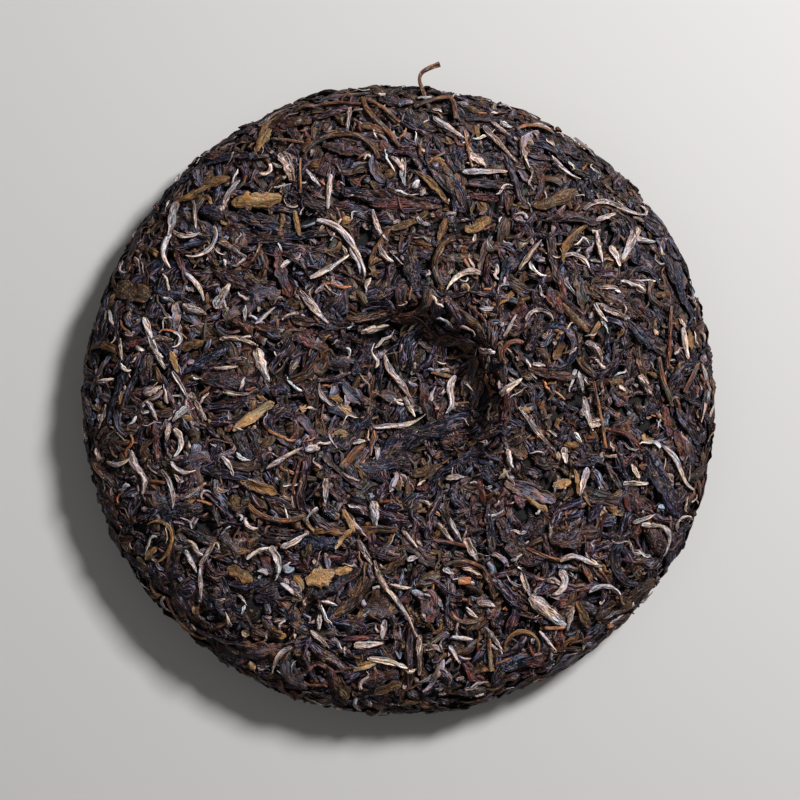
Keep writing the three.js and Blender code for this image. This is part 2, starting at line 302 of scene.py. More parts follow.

# Pale buds
# The unopened tips of the shoots: slender, curved and pointed, with cream or silver down. They are
# the brightest pieces and lie uppermost, pressed flat. The large ones lie where the picture has them.

# Read from the picture, in millimetres and degrees: the place of the bud's middle (x, y), its
# heading, length, width, whole turn and sway, and last how pale it is, from 0 to 1.
DRAWN_BUDS = (
    (-77, 18, -65, 18, 2, 10, -5, 1),
    (-63, 36, -55, 11, 1.5, -50, 0, 0.8),
    (-59, 47, -135, 16, 1.3, -130, -5, 0.7),
    (-74, 47, -90, 13, 2, 95, 0, 0.75),
    (-67, 51, -5, 10, 1.3, 80, 0, 0.7),
    (-64, 58, -85, 9, 1.2, 0, 0, 0.7),
    (-41, 71, -140, 6, 1.5, -160, 0, 0.8),
    (-22, 41, 30, 14, 2, 15, 0, 1),
    (-16, 50, -50, 24, 1.8, -85, -5, 0.65),
    (-27, 29, -50, 13, 2.4, 10, 0, 0.6),
    (-22, 65, -95, 11, 1.6, 0, 0, 0.7),
    (15, 85, -35, 12, 1.6, 0, 0, 0.7),
    (19, 39, -155, 13, 2, 90, 0, 1),
    (26, 71, 0, 14, 1.8, 0, 0, 0.7),
    (0, 73, -55, 8, 1.5, -50, 0, 0.8),
    (72, 49, -115, 12, 3, 0, 0, 0.6),
    (76, 50, -5, 8, 2, 0, 0, 0.7),
    (62, 48, -80, 10, 1.5, 0, 0, 0.7),
    (67, 61, 0, 23, 1.6, -40, -25, 0.6),
    (51, 72, -40, 12, 1.2, 45, 0, 0.7),
    (45, 86, -20, 8, 1.2, -95, 0, 0.7),
    (34, 4, 35, 9, 2, 0, 0, 0.9),
    (28, 15, -10, 3, 1.8, 0, 0, 0.8),
    (89, 18, -80, 10, 2.2, 0, 0, 0.9),
    (58, -4, -75, 11, 2, 20, 0, 0.5),
    (87, -21, -50, 19, 1.6, 5, -15, 0.7),
    (34, -18, -65, 6, 1.5, 0, 0, 0.7),
    (-87, 16, -80, 7, 1, 0, 0, 0.8),
    (-92, 6, 10, 6, 1.4, 0, 0, 0.7),
    (-68, 5, -60, 10, 1.2, -20, 0, 0.8),
    (-68, 19, -90, 8, 1.2, -195, 0, 0.8),
    (-43, 11, -70, 11, 3, 25, 0, 0.8),
    (-68, -13, -90, 10, 1.7, -110, 0, 0.9),
    (-88, -20, 10, 9, 1.8, 65, 0, 0.7),
    (-81, -22, -70, 15, 2.2, -50, 30, 0.3),
    (-68, -22, -20, 9, 1.2, 100, 0, 0.7),
    (-68, -4, -135, 7, 2, 0, 0, 0.7),
    (-42, 26, 40, 8, 1.2, 0, 0, 0.8),
    (-8, 22, 15, 9, 2.5, 0, 0, 1),
    (-1, 7, -60, 18, 2.2, 20, 10, 0.3),
    (3, -2, -65, 7, 1.8, 0, 0, 0.8),
    (0, -8, 15, 17, 1.4, 40, -10, 0.75),
    (16, 2, -105, 13, 2, -10, 25, 0.9),
    (-24, 1, -50, 11, 1.6, 50, 0, 0.6),
    (-33, -44, 30, 9, 1.8, 20, 0, 0.8),
    (-44, -47, 25, 9, 1.5, -40, 0, 0.8),
    (-47, -39, -40, 6, 1.1, 115, 0, 0.8),
    (-34, -59, -35, 8, 1.5, 0, 0, 0.8),
    (-38, -80, -125, 12, 1.5, 45, 0, 0.65),
    (-65, -50, -65, 8, 1.5, 0, 0, 0.8),
    (-83, -56, -40, 12, 1.2, 45, 0, 0.7),
    (-75, -64, -85, 8, 1.4, 145, 0, 0.7),
    (-2, -61, -60, 28, 1.5, 10, 10, 0.3),
    (-10, -76, 5, 9, 2.2, 0, 0, 0.8),
    (-4, -81, -15, 13, 2, -30, 0, 1),
    (-8, -35, -85, 8, 3.5, 0, 0, 0.6),
    (56, -49, -5, 14, 1.5, -60, -20, 0.55),
    (46, -66, -40, 16, 4, 5, 0, 0.4),
    (51, -57, -105, 10, 2.2, -130, 0, 0.6),
    (53, -68, -100, 8, 1.8, 0, 0, 0.5),
    (64, -58, -5, 12, 1.5, -100, 0, 0.7),
    (84, -42, -65, 14, 1.5, -145, -5, 0.8),
    (89, -37, 15, 9, 1.2, -135, 0, 0.8),
    (46, -75, -50, 9, 1.2, 0, 0, 0.8),
    (57, -25, -105, 9, 2.2, 0, 0, 0.7),
    (-71, 57, -100, 11, 2.6, 0, 0, 0.5),
    (-53, 65, 55, 9, 1.5, -40, 0, 0.5),
    (-52, 47, -25, 10, 1.6, 10, 0, 0.3),
    (-55, 32, 60, 9, 3.4, 0, 0, 0.55),
    (-88, 41, -60, 7, 1.1, 160, 0, 0.6),
    (-82, 43, -60, 6, 1.2, -60, 0, 0.5),
    (-39, 90, 30, 14, 1.4, -20, 0, 0.3),
    (-35, 73, -65, 10, 3.6, 0, 0, 0.15),
    (-16, 88, -95, 8, 1.3, 0, 0, 0.4),
    (-27, 69, -50, 7, 1.2, 0, 0, 0.45),
    (1, 71, -85, 9, 2, 0, 0, 0.5),
    (5, 67, 45, 3, 2.2, 0, 0, 0.95),
    (-7, 54, -65, 11, 1.6, 40, 0, 0.45),
    (7, 55, -30, 5, 1.4, 60, 0, 0.7),
    (-5, 45, -50, 7, 1.6, 60, 0, 0.9),
    (-14, 44, -75, 10, 1.4, 0, 20, 0.5),
    (24, 75, -40, 6, 2.6, 0, 0, 0.8),
    (31, 80, -50, 16, 1.6, 0, 0, 0.2),
    (31, 85, -40, 8, 1.2, 0, 0, 0.5),
    (33, 86, -20, 4, 1.6, 0, 0, 0.9),
    (38, 80, 70, 9, 1.4, -90, 0, 0.35),
    (58, 80, -50, 9, 1.3, 0, 0, 0.5),
    (40, 45, 50, 12, 1.6, 0, 0, 0.3),
    (55, 45, -20, 11, 1.2, -120, 0, 0.6),
    (64, 57, 20, 7, 1.6, 0, 0, 0.6),
    (67, 45, -60, 7, 2.2, 0, 0, 0.9),
    (-81, 16, -20, 3, 1.6, 0, 0, 0.9),
    (-75, 14, -30, 3, 1.6, 0, 0, 0.9),
    (-74, 19, -5, 7, 1.8, 0, 0, 0.2),
    (-62, -3, -60, 7, 1.5, 0, 0, 0.5),
    (-54, 10, 5, 7, 1.2, 0, 0, 0.6),
    (-51, 2, -5, 8, 1.2, 20, 0, 0.6),
    (-77, 3, 25, 6, 2.6, 0, 0, 0.4),
    (-77, -3, -60, 7, 1.5, -10, 0, 0.35),
    (-93, -5, -110, 8, 1.5, 0, 0, 0.15),
    (-72, -10, -100, 5, 1.8, 0, 0, 0.3),
    (-49, -18, -30, 5, 1.3, 60, 0, 0.9),
    (-53, -20, -60, 7, 1.4, -40, 0, 0.85),
    (-48, 27, -90, 5, 1.2, 0, 0, 0.8),
    (-64, 28, -20, 8, 2.6, 0, 0, 0.2),
    (-50, 19, -10, 12, 1.6, -50, 0, 0.35),
    (66, 35, -10, 9, 1.2, -50, 0, 0.35),
    (68, 34, -25, 4, 1.5, 0, 0, 0.8),
    (62, 27, -55, 7, 1.3, 30, 0, 0.7),
    (67, 27, -20, 9, 1.4, 0, 0, 0.2),
    (43, 11, -10, 4, 1.2, 0, 0, 0.8),
    (61, 16, -50, 9, 1.8, -80, 0, 0.25),
    (96, 7, -70, 10, 1.6, 0, 0, 0.25),
    (96, -1, -110, 12, 1.4, 0, 0, 0.6),
    (76, 5, -60, 7, 2.6, 0, 0, 0.2),
    (56, 6, -80, 6, 1.5, 0, 0, 0.7),
    (61, -7, 10, 5, 2.6, 0, 0, 0.5),
    (42, -9, -50, 18, 1.5, 10, 0, 0.3),
    (-71, -27, -75, 13, 1.7, -60, 0, 0.45),
    (-65, -29, 30, 11, 1.3, 20, 0, 0.2),
    (-38, -49, -70, 9, 2.2, -60, 0, 0.75),
    (-60, -48, 55, 9, 1.5, 0, 0, 0.3),
    (-62, -57, -90, 12, 1.4, 0, 0, 0.35),
    (-11, -47, -60, 9, 1.8, 0, 0, 0.2),
    (15, -53, -30, 4, 1.8, 0, 0, 0.3),
    (-5, -71, -100, 6, 1.8, 0, 0, 0.7),
    (-14, -96, -80, 7, 1.3, 70, 0, 0.8),
    (6, -79, -90, 13, 1.8, 0, 0, 0.1),
    (3, -43, -50, 7, 1.4, 0, 0, 0.6),
    (4, -49, 20, 4, 1.8, 0, 0, 0.9),
    (14, -41, -50, 8, 1.3, 0, 0, 0.7),
    (17, -40, -60, 8, 1.3, 0, 0, 0.6),
    (22, -46, -60, 8, 2.6, 0, 0, 0.3),
    (22, -66, -40, 5, 1.3, 0, 0, 0.8),
    (19, -74, -5, 7, 1.3, 0, 0, 0.8),
    (17, -79, -60, 7, 1.3, 0, 0, 0.6),
    (-22, -63, -15, 5, 1.3, 0, 0, 0.8),
    (-25, -69, -95, 5, 1.5, 0, 0, 0.8),
    (0, -58, -10, 7, 1.2, 20, 0, 0.65),
    (-25, -74, -45, 8, 1.6, 0, 0, 0.25),
    (48, -56, -20, 5, 1.8, -90, 0, 0.5),
    (39, -57, -70, 8, 1.8, 0, 0, 0.6),
    (36, -49, 30, 4, 1.5, 0, 0, 0.8),
    (78, -39, -5, 6, 1.6, 0, 0, 0.9),
    (76, -37, 20, 8, 1.3, 0, 0, 0.5),
    (73, -26, 0, 8, 1.8, 0, 0, 0.7),
    (73, -22, -60, 5, 1.5, 0, 0, 0.8),
    (68, -69, 35, 5, 1.2, 0, 0, 0.8),
    (27, -63, -10, 6, 2.2, -60, 0, 0.3),
    (29, -74, -55, 9, 1.5, 0, 0, 0.3),
    (-27, -15, 10, 5, 2.6, 0, 0, 0.6),
    (-36, -18, 30, 13, 1.5, 0, 0, 0.5),
    (-13, -13, 5, 4, 1.5, 0, 0, 0.9),
    (26, 15, 0, 5, 1.8, 0, 0, 0.85),
    (51, -17, -80, 5, 1.8, 0, 0, 0.9),
    (17, -24, 0, 6, 2.6, 0, 0, 0.7),
    (43, 28, 0, 12, 1.2, -160, 0, 0.4),
    (34, 23, 60, 8, 1.4, 0, 0, 0.2),
    (-23, -28, -90, 8, 1.8, 0, 0, 0.3),
)

# Steps that spread places evenly, however many there are, and how far each may stray
EVEN_STEP_OUT = 0.7548777
EVEN_STEP_ROUND = 0.5698403
STRAY_OUT = 0.35
STRAY_ROUND = 0.2

# Up to this share of the skin, just past the edge, places are laid out from the shown face
SHOWN_MAP_SHARE = 0.53

# Nearer than this to the middle of a map, in millimetres, it is as good as flat
MAP_MIDDLE = 2


def spread(count, share_from, share_to, seed):
    """Places spread evenly over a band of the skin, as side, u and v. The shares are of the skin's
    area, counted from the middle of the shown face."""
    draw = np.random.default_rng(seed)
    step = np.arange(count)
    share = (EVEN_STEP_OUT * step + draw.random()) % 1
    share = np.clip(share + draw.uniform(-1, 1, count) * STRAY_OUT / math.sqrt(count), 0, 1)
    share = share_from + (share_to - share_from) * share
    turns = EVEN_STEP_ROUND * step + draw.random() + draw.normal(0, STRAY_ROUND, count) / math.sqrt(count)
    angle = 2 * np.pi * (turns % 1)
    s = np.interp(share, area_share, run)
    side = np.where(share < SHOWN_MAP_SHARE, 1, -1)
    reach = np.where(side > 0, s, whole_run - s)
    return side, reach * np.cos(angle), reach * np.sin(angle)


def seen_at(rows):
    """The same kind of places for rows that start with x and y on a plan of the shown side."""
    x, y = rows[:, :2].T
    out = x - dimple_shift(np.hypot(x, y))
    angle = np.arctan2(y, out)
    reach = np.interp(np.hypot(out, y) / outline(angle), shown_r, run[: PROFILE_STEPS + 1])
    return np.ones(len(x)), reach * np.cos(angle), reach * np.sin(angle)


def lay_lines(side, u, v, course, length):
    """Lines on the skin, as points and normals. Each has its middle at (u, v); course is its
    direction on every step and length is its whole length."""
    steps = course.shape[1]
    middle = steps // 2
    us = np.empty((len(u), steps + 1))
    vs = np.empty((len(u), steps + 1))
    us[:, middle] = u
    vs[:, middle] = v
    for way, moves in ((1, range(middle, steps)), (-1, range(middle - 1, -1, -1))):
        here_u = u
        here_v = v
        for j in moves:
            reach = np.hypot(here_u, here_v)
            angle = np.arctan2(here_v, here_u)
            r = np.interp(along_skin(side, here_u, here_v), run, profile[:, 0])
            widen = np.where(reach > MAP_MIDDLE, reach / np.maximum(r, 1), 1)
            out = way * length / steps * np.cos(course[:, j] - angle)
            across = way * length / steps * np.sin(course[:, j] - angle) * widen
            here_u = here_u + out * np.cos(angle) - across * np.sin(angle)
            here_v = here_v + out * np.sin(angle) + across * np.cos(angle)
            us[:, j + (way > 0)] = here_u
            vs[:, j + (way > 0)] = here_v
    return on_skin(side[:, None], us, vs)


# Two waves make a leaf's course: a slow one and a quicker, weaker one
WANDER_RATES = (0.6, 1.0)
WANDER_QUICK = 2.1
WANDER_SLOW_PART = 0.65
WANDER_QUICK_PART = 0.35


def wander(draw, count, stations, waves):
    """A smooth random course along each leaf, from -1 to 1."""
    t = np.linspace(0, 1, stations)[None, :]
    rate = draw.uniform(*WANDER_RATES, (count, 2)) * waves
    phase = draw.uniform(0, 2 * np.pi, (count, 2))
    slow = np.sin(2 * np.pi * rate[:, :1] * t + phase[:, :1])
    quick = np.sin(2 * np.pi * WANDER_QUICK * rate[:, 1:] * t + phase[:, 1:])
    return WANDER_SLOW_PART * slow + WANDER_QUICK_PART * quick


# Leaves lie in the order in which they were pressed, and the uppermost ones hold the others down
GIVE_WAY_DROP = 1.1
GIVE_WAY_CLEAR = 0.4
uppermost = []


def keep_uppermost(group):
    """Leaves that are laid later go down under these."""
    uppermost.append((group["path"].reshape(-1, 3), group["half_width"].ravel()))


def give_way(points, half_width):
    """How far each point of a line must go down to pass under the uppermost leaves."""
    if not uppermost:
        return np.zeros(half_width.shape)
    above = np.vstack([spot for spot, _ in uppermost])
    reach = np.concatenate([width for _, width in uppermost])
    tree = KDTree(len(above))
    for number, spot in enumerate(above):
        tree.insert(spot, number)
    tree.balance()
    gap = np.zeros(half_width.size)
    for number, spot in enumerate(points.reshape(-1, 3)):
        _, nearest, away = tree.find(spot)
        gap[number] = away - reach[nearest]
    gap = gap.reshape(half_width.shape) - half_width
    return GIVE_WAY_DROP * smooth(1 - gap / GIVE_WAY_CLEAR)


# Painted shade at the edge of the cake and on the dimple's wall
EDGE_SHADE = 0.34
EDGE_SHADE_RUN = (80.0, 98.0)
WALL_SHADE = 0.3
WALL_RADIUS = 27.0
WALL_REACH = 9.0
WALL_DARK_SIDE = 190


def painted_edge_and_wall_shade(side, points):
    """Painted shade on the leaves at the edge and on the dimple's wall, the wall darkest on its left."""
    r = np.hypot(points[..., 0], points[..., 1])
    angle = np.arctan2(points[..., 1], points[..., 0])
    edge = smooth((r - EDGE_SHADE_RUN[0]) / (EDGE_SHADE_RUN[1] - EDGE_SHADE_RUN[0]))
    wall = smooth(1 - np.abs(r - WALL_RADIUS) / WALL_REACH) * (side[:, None] > 0)
    wall *= 0.5 + 0.5 * np.cos(angle - math.radians(WALL_DARK_SIDE))
    return 1 - EDGE_SHADE * edge - WALL_SHADE * wall


# Leaves near the edge run along it. Elsewhere some share a drift and the others lie any way round
RIM_ZONE = 14.0
RIM_SCATTER = 0.45
FLOW_LENGTH = 15.0
FLOW_SEED = 7
FLOW_TURN = 3.4
FLOW_SCATTER = 0.6
FLOW_SHARE = 0.5

# How a leaf bends: a whole turn, a sway, small kinks, and in some a knee
HOOK_CHANCE = 0.18
TURN_SCATTER = 0.8
SWAY = 16
KINK = 20
KINK_WAVES = 1.7
KINKS_IF_DRAWN = 0.15
KNEE_SHARE = 0.25
KNEE_TURN = 55
KNEE_PLACES = (-0.35, 0.3)
KNEE_RUN = 0.1

# How wide and thick it is along its length
BROAD_WIDTH = 1.7
SWELL_POWERS = (0.3, 0.75)
STATIONS_A_BULGE = 7
THICKNESS_DRIFT = 0.25
THICKNESS_WAVES = 1.2
THICKNESS_LIMITS = (0.12, 0.6)

# How high it lies, where its ends dive, and where the crumbs lie uppermost instead of the leaves
DEEPEST = -2.3
TUCK_RUN = 0.35
HOP = 0.3
HOP_LENGTH = 9.0
HOP_SEED = 11
HOP_DRIFT = 0.5
HOP_DRIFT_WAVES = 1.2
CRUMB_LENGTH = 5.5
CRUMB_ZONE_LENGTH = 38.0
CRUMB_ZONE_SEED = 19
CRUMB_ZONE_EDGE = 1.6
CRUMB_ZONE_SINK = 0.9

# How its section leans, folds and curls
LEAN_SCATTER = 0.7
ROLL_WAVES = 0.6
FOLD_PLACES = (0.2, 0.8)
FOLD_DRIFT = 0.8
CURL_SCATTER = 0.8
MARK_SPREAD = 500


def grow_leaves(places, seed, depth, stations, length=(0, 0), width=(0, 0), flatness=(0.14, 0.34),
                ends=(0.1, 0.6), taper=0.0, bend=(40, 150), curl=0.5, bank=11, roll=26, tuck=0.8,
                ragged=0.22, broad=0.0, torn=0.0, drawn=None):
    """Everything that the leaves' bodies are swept from, for one size of leaf. Pairs are lowest
    and highest. depth is that of the middle line beneath the cake's skin. Leaves that are drawn
    have their heading, length, width, bends and tone from their rows."""
    draw = np.random.default_rng(seed)
    side, u, v = places
    count = len(u)
    t = np.linspace(0, 1, stations)[None, :]
    part = (np.arange(stations - 1) + 0.5)[None, :] / (stations - 1) - 0.5
    every = np.zeros((1, stations))

    lengths = draw.uniform(*length, count)
    widths = draw.uniform(*width, count) * np.where(draw.random(count) < broad, BROAD_WIDTH, 1)
    start, _ = on_skin(side, u, v)
    near_rim = np.abs(along_skin(side, u, v) - edge_run) < RIM_ZONE
    around = np.arctan2(v, u) + np.pi / 2 + draw.normal(0, RIM_SCATTER, count)
    flow = FLOW_TURN * ripple(start, FLOW_LENGTH, FLOW_SEED) + draw.normal(0, FLOW_SCATTER, count)
    loose = draw.random(count) > FLOW_SHARE
    heading = np.where(near_rim, around, np.where(loose, draw.uniform(0, 2 * np.pi, count), flow))
    turns = np.radians(np.where(draw.random(count) < HOOK_CHANCE, bend[1], bend[0]))
    turns *= draw.normal(0, TURN_SCATTER, count)
    sways = np.radians(draw.normal(0, SWAY, count))
    kinks = np.radians(KINK) * wander(draw, count, stations - 1, KINK_WAVES)
    knee = np.radians(KNEE_TURN) * draw.normal(0, 1, (count, 1)) * (draw.random((count, 1)) < KNEE_SHARE)
    kinks += knee * (smooth((part - draw.uniform(*KNEE_PLACES, (count, 1))) / KNEE_RUN) - 0.5)
    tones = draw.random(count)
    if drawn is not None:
        heading, turns, sways = np.radians(drawn[:, [2, 5, 6]].T)
        lengths, widths, tones = drawn[:, [3, 4, 7]].T
        kinks *= KINKS_IF_DRAWN
    course = heading[:, None] + turns[:, None] * part + sways[:, None] * np.cos(2 * np.pi * part) + kinks
    points, normals = lay_lines(side, u, v, course, lengths)

    blunt = draw.uniform(*ends, (count, 2))
    blunt = blunt[:, :1] + (blunt[:, 1:] - blunt[:, :1]) * t
    swell = blunt + (1 - blunt) * np.sin(np.pi * t) ** draw.uniform(*SWELL_POWERS, (count, 1))
    swell = swell * (1 - taper * t)
    half_width = 0.5 * widths[:, None] * swell
    half_width = half_width * (1 + ragged * wander(draw, count, stations, stations / STATIONS_A_BULGE))
    half_width *= 1 + torn * draw.uniform(-1, 1, (count, stations))
    half_thick = draw.uniform(*flatness, (count, 1)) * half_width
    half_thick = half_thick * (1 + THICKNESS_DRIFT * wander(draw, count, stations, THICKNESS_WAVES))
    half_thick = np.clip(half_thick, *THICKNESS_LIMITS)

    dive = tuck * draw.random((count, 2)) ** 2
    lift = -draw.uniform(*depth, (count, 1))
    hops = ripple(points, HOP_LENGTH, HOP_SEED) + HOP_DRIFT * wander(draw, count, stations, HOP_DRIFT_WAVES)
    lift = lift + HOP * hops
    lift -= dive[:, :1] * smooth(1 - t / TUCK_RUN) + dive[:, 1:] * smooth((t - (1 - TUCK_RUN)) / TUCK_RUN)
    if drawn is None:
        crumbly = smooth(CRUMB_ZONE_EDGE * ripple(start, CRUMB_ZONE_LENGTH, CRUMB_ZONE_SEED))[:, None]
        is_crumb = lengths[:, None] < CRUMB_LENGTH
        lift -= give_way(points, half_width) * np.where(is_crumb, 1 - crumbly, 1)
        lift -= np.where(is_crumb, 0, CRUMB_ZONE_SINK * crumbly)
    lift = np.maximum(lift, DEEPEST)
    points = points + lift[..., None] * normals

    ahead = np.gradient(points, axis=1)
    ahead /= np.linalg.norm(ahead, axis=-1, keepdims=True)
    up = normals - (normals * ahead).sum(-1, keepdims=True) * ahead
    up /= np.linalg.norm(up, axis=-1, keepdims=True)
    across = np.cross(up, ahead)
    lean = np.radians(bank) * draw.normal(0, LEAN_SCATTER, (count, 1))
    lean = lean + np.radians(roll) * wander(draw, count, stations, ROLL_WAVES)
    lean = lean[..., None]
    fold = np.pi * draw.uniform(*FOLD_PLACES, (count, 1))
    fold = fold + draw.normal(0, FOLD_DRIFT, (count, 1)) * (t - 0.5)
    return {
        "path": points,
        "across": across * np.cos(lean) + up * np.sin(lean),
        "up": up * np.cos(lean) - across * np.sin(lean),
        "skin": normals,
        "lift": lift,
        "half_width": half_width,
        "half_thick": half_thick,
        "fold": fold,
        "curl": curl * draw.normal(0, CURL_SCATTER, (count, 1)) + every,
        "tone": tones[:, None] + every,
        "shade": painted_edge_and_wall_shade(side, points),
        "distance": lengths[:, None] * t,
        "mark": draw.uniform(0, MARK_SPREAD, (count, 1, 3)) + np.zeros((1, stations, 1)),
    }


# How a leaf's body is folded, pleated, crumpled and pressed down
FOLD_SHARPNESS = 5.0
PLEAT_RATE = 2.2
PLEAT_SHIFT = 4.0
CURL_MIDDLE = 0.4
CRUMPLE_GRAIN = (0.6, 0.6, 0.3)
CEILING = 0.1
TABLE_FLOOR = (-1.0, -1.0, 0.0)


def body_tree():
    """Geometry Nodes that sweep a leaf's section along each line. The section is set by the line's
    own widths and directions. It has the fold of the rolled leaf, and the whole leaf is crumpled
    and then pressed down to the skin of the cake."""
    tree = bpy.data.node_groups.new("leaf_bodies", "GeometryNodeTree")
    for name, kind, value in (
        ("Lines", "NodeSocketGeometry", None),
        ("Points Round", "NodeSocketInt", 8),
        ("Fold Depth", "NodeSocketFloat", 0.3),
        ("Crumple", "NodeSocketFloat", 0.5),
        ("Press", "NodeSocketFloat", 0.75),
        ("Pleats", "NodeSocketFloat", 0.0),
        ("Roundness", "NodeSocketFloat", 0.65),
        ("Smooth", "NodeSocketBool", True),
        ("Finish", "NodeSocketMaterial", None),
    ):
        socket = tree.interface.new_socket(name=name, in_out="INPUT", socket_type=kind)
        if value is not None:
            socket.default_value = value
    tree.interface.new_socket(name="Leaves", in_out="OUTPUT", socket_type="NodeSocketGeometry")
    bench = Bench(tree)
    inputs = tree.nodes.new("NodeGroupInput")
    given = {socket.name: Thread(bench, socket) for socket in inputs.outputs if socket.name}

    def read(name, kind="FLOAT"):
        return bench.add("GeometryNodeInputNamedAttribute", {"data_type": kind}, {"Name": name})

    def curve_of(operation, value, other=0.0):
        return bench.add("ShaderNodeMath", {"operation": operation}, {0: value, 1: other})

    def store(body, name, kind, value):
        settings = {"data_type": kind, "domain": "POINT"}
        sockets = {"Geometry": body, "Name": name, "Value": value}
        return bench.add("GeometryNodeStoreNamedAttribute", settings, sockets)

    lines = bench.add("GeometryNodeMeshToCurve", None, {"Mesh": given["Lines"]})
    ring_sockets = {"Resolution": given["Points Round"], "Radius": 1.0}
    ring = bench.add("GeometryNodeCurvePrimitiveCircle", None, ring_sockets)
    factor = bench.add("GeometryNodeSplineParameter")
    ring = store(ring, "round", "FLOAT", factor * (2 * math.pi) - math.pi / 2)
    sweep_sockets = {"Curve": lines, "Profile Curve": ring, "Fill Caps": True}
    swept = bench.add("GeometryNodeCurveToMesh", None, sweep_sockets)

    angle = read("round")
    sine = curve_of("SINE", angle)
    level = curve_of("SIGN", sine) * curve_of("ABSOLUTE", sine) ** given["Roundness"]
    breadth = curve_of("COSINE", angle)
    groove = curve_of("MAXIMUM", curve_of("COSINE", angle - read("fold"))) ** FOLD_SHARPNESS
    bulge = 1 - given["Fold Depth"] * groove
    half_width = read("half_width")
    wide = half_width * (breadth * bulge)
    curled = half_width * (read("curl") * (breadth * breadth - CURL_MIDDLE))
    high = read("half_thick") * (level * bulge) + curled
    zigzag = curve_of("PINGPONG", breadth * PLEAT_RATE + read("fold") * PLEAT_SHIFT, 1.0) - 0.5
    high = high + half_width * (given["Pleats"] * 2.0 * zigzag)

    mark = read("mark", "FLOAT_VECTOR")
    distance = read("distance")
    spot = bench.add("ShaderNodeCombineXYZ", None, {"X": wide / MM, "Z": distance}) + mark
    dents = {"Vector": spot * CRUMPLE_GRAIN, "Scale": 1.0, "Detail": 1.0}
    dents = bench.add("ShaderNodeTexNoise", None, dents, output=1) - (0.5, 0.5, 0.5)
    dents = dents * (half_width * given["Crumple"])
    aside, lifted = bench.add("ShaderNodeSeparateXYZ", None, {0: dents}, output=(0, 1))
    across = read("across", "FLOAT_VECTOR")
    up = read("up", "FLOAT_VECTOR")
    offset = across * (wide + aside) + up * (high + lifted)

    skin = read("skin", "FLOAT_VECTOR")
    lift = read("lift")
    stands = bench.add("ShaderNodeVectorMath", {"operation": "DOT_PRODUCT"}, {0: offset, 1: skin}, output=1)
    over = curve_of("MAXIMUM", lift + stands - CEILING * MM) * given["Press"]
    position = read("path", "FLOAT_VECTOR") + offset - skin * over
    floored = {0: position, 1: TABLE_FLOOR}
    position = bench.add("ShaderNodeVectorMath", {"operation": "MAXIMUM"}, floored)
    body = bench.add("GeometryNodeSetPosition", None, {"Geometry": swept, "Position": position})

    section = {"X": wide / MM, "Y": level * half_width / MM, "Z": distance}
    section = bench.add("ShaderNodeCombineXYZ", None, section)
    body = store(body, "grain", "FLOAT_VECTOR", section + mark)
    body = store(body, "crest", "FLOAT", level)
    body = store(body, "groove", "FLOAT", groove)
    body = store(body, "rise", "FLOAT", (lift + stands - over) / MM)
    body = bench.add("GeometryNodeSetShadeSmooth", None, {"Geometry": body, "Shade Smooth": given["Smooth"]})
    body = bench.add("GeometryNodeRealizeInstances", None, {"Geometry": body})
    body = bench.add("GeometryNodeSetMaterial", None, {"Geometry": body, "Material": given["Finish"]})
    outputs = tree.nodes.new("NodeGroupOutput")
    tree.links.new(body.socket, outputs.inputs["Leaves"])
    return tree


leaf_bodies = body_tree()
KEPT_MARKS = ("tone", "shade", "grain", "crest", "groove", "rise")
IN_MILLIMETRES = ("path", "lift", "half_width", "half_thick")


def sweep_leaves(name, groups, finish, round_points=8, fold_depth=0.38, crumple=0.7, press=0.75,
                 roundness=0.65, pleats=0.0, rounded=True):
    """One piece from groups of leaves: their lines with all marks, then the tree, then a plain mesh."""
    marks = {key: [] for key in groups[0]}
    edges = []
    start = 0
    for group in groups:
        count, stations = group["half_width"].shape
        index = start + np.arange(count * stations).reshape(count, stations)
        edges.append(np.stack([index[:, :-1], index[:, 1:]], -1).reshape(-1, 2))
        start += count * stations
        for key, value in group.items():
            marks[key].append(value.reshape(count * stations, -1))
    marks = {key: np.vstack(value).astype(np.float32) for key, value in marks.items()}
    for key in IN_MILLIMETRES:
        marks[key] *= MM
    edges = np.vstack(edges)

    mesh = bpy.data.meshes.new(name)
    mesh.vertices.add(start)
    mesh.edges.add(len(edges))
    mesh.vertices.foreach_set("co", marks["path"].ravel())
    mesh.edges.foreach_set("vertices", edges.astype(np.int32).ravel())
    for key, value in marks.items():
        is_vector = value.shape[1] == 3
        attribute = mesh.attributes.new(key, "FLOAT_VECTOR" if is_vector else "FLOAT", "POINT")
        attribute.data.foreach_set("vector" if is_vector else "value", value.ravel())
    lines = bpy.data.objects.new(name + "_lines", mesh)
    bpy.context.scene.collection.objects.link(lines)

    modifier = lines.modifiers.new("bodies", "NODES")
    modifier.node_group = leaf_bodies
    given = [item for item in leaf_bodies.interface.items_tree if item.in_out == "INPUT"]
    sockets = {item.name: item.identifier for item in given}
    for key, value in (
        ("Points Round", round_points),
        ("Fold Depth", fold_depth),
        ("Crumple", crumple),
        ("Press", press),
        ("Pleats", pleats),
        ("Roundness", roundness),
        ("Smooth", rounded),
        ("Finish", finish),
    ):
        modifier[sockets[key]] = value
    evaluated = lines.evaluated_get(bpy.context.evaluated_depsgraph_get())
    plain = bpy.data.meshes.new_from_object(evaluated)
    plain.name = name
    bpy.data.objects.remove(lines)
    for key in [*marks, "round"]:
        if key not in KEPT_MARKS and key in plain.attributes:
            plain.attributes.remove(plain.attributes[key])
    piece = bpy.data.objects.new(name, plain)
    bpy.context.scene.collection.objects.link(piece)
    fit_to_cake(piece)


# Faint tints that drift over dry leaf, from steel blue and violet to red-brown and olive. They
# multiply its own colour, and PLAIN leaves that as it is.
PLAIN = (0.7, 0.7, 0.7, 1.0)
HUES = (
    (0.38, (0.47, 0.73, 0.88, 1.0)),
    (0.45, (0.66, 0.62, 0.88, 1.0)),
    (0.5, PLAIN),
    (0.56, (0.95, 0.61, 0.55, 1.0)),
    (0.63, (0.8, 0.72, 0.42, 1.0)),
)

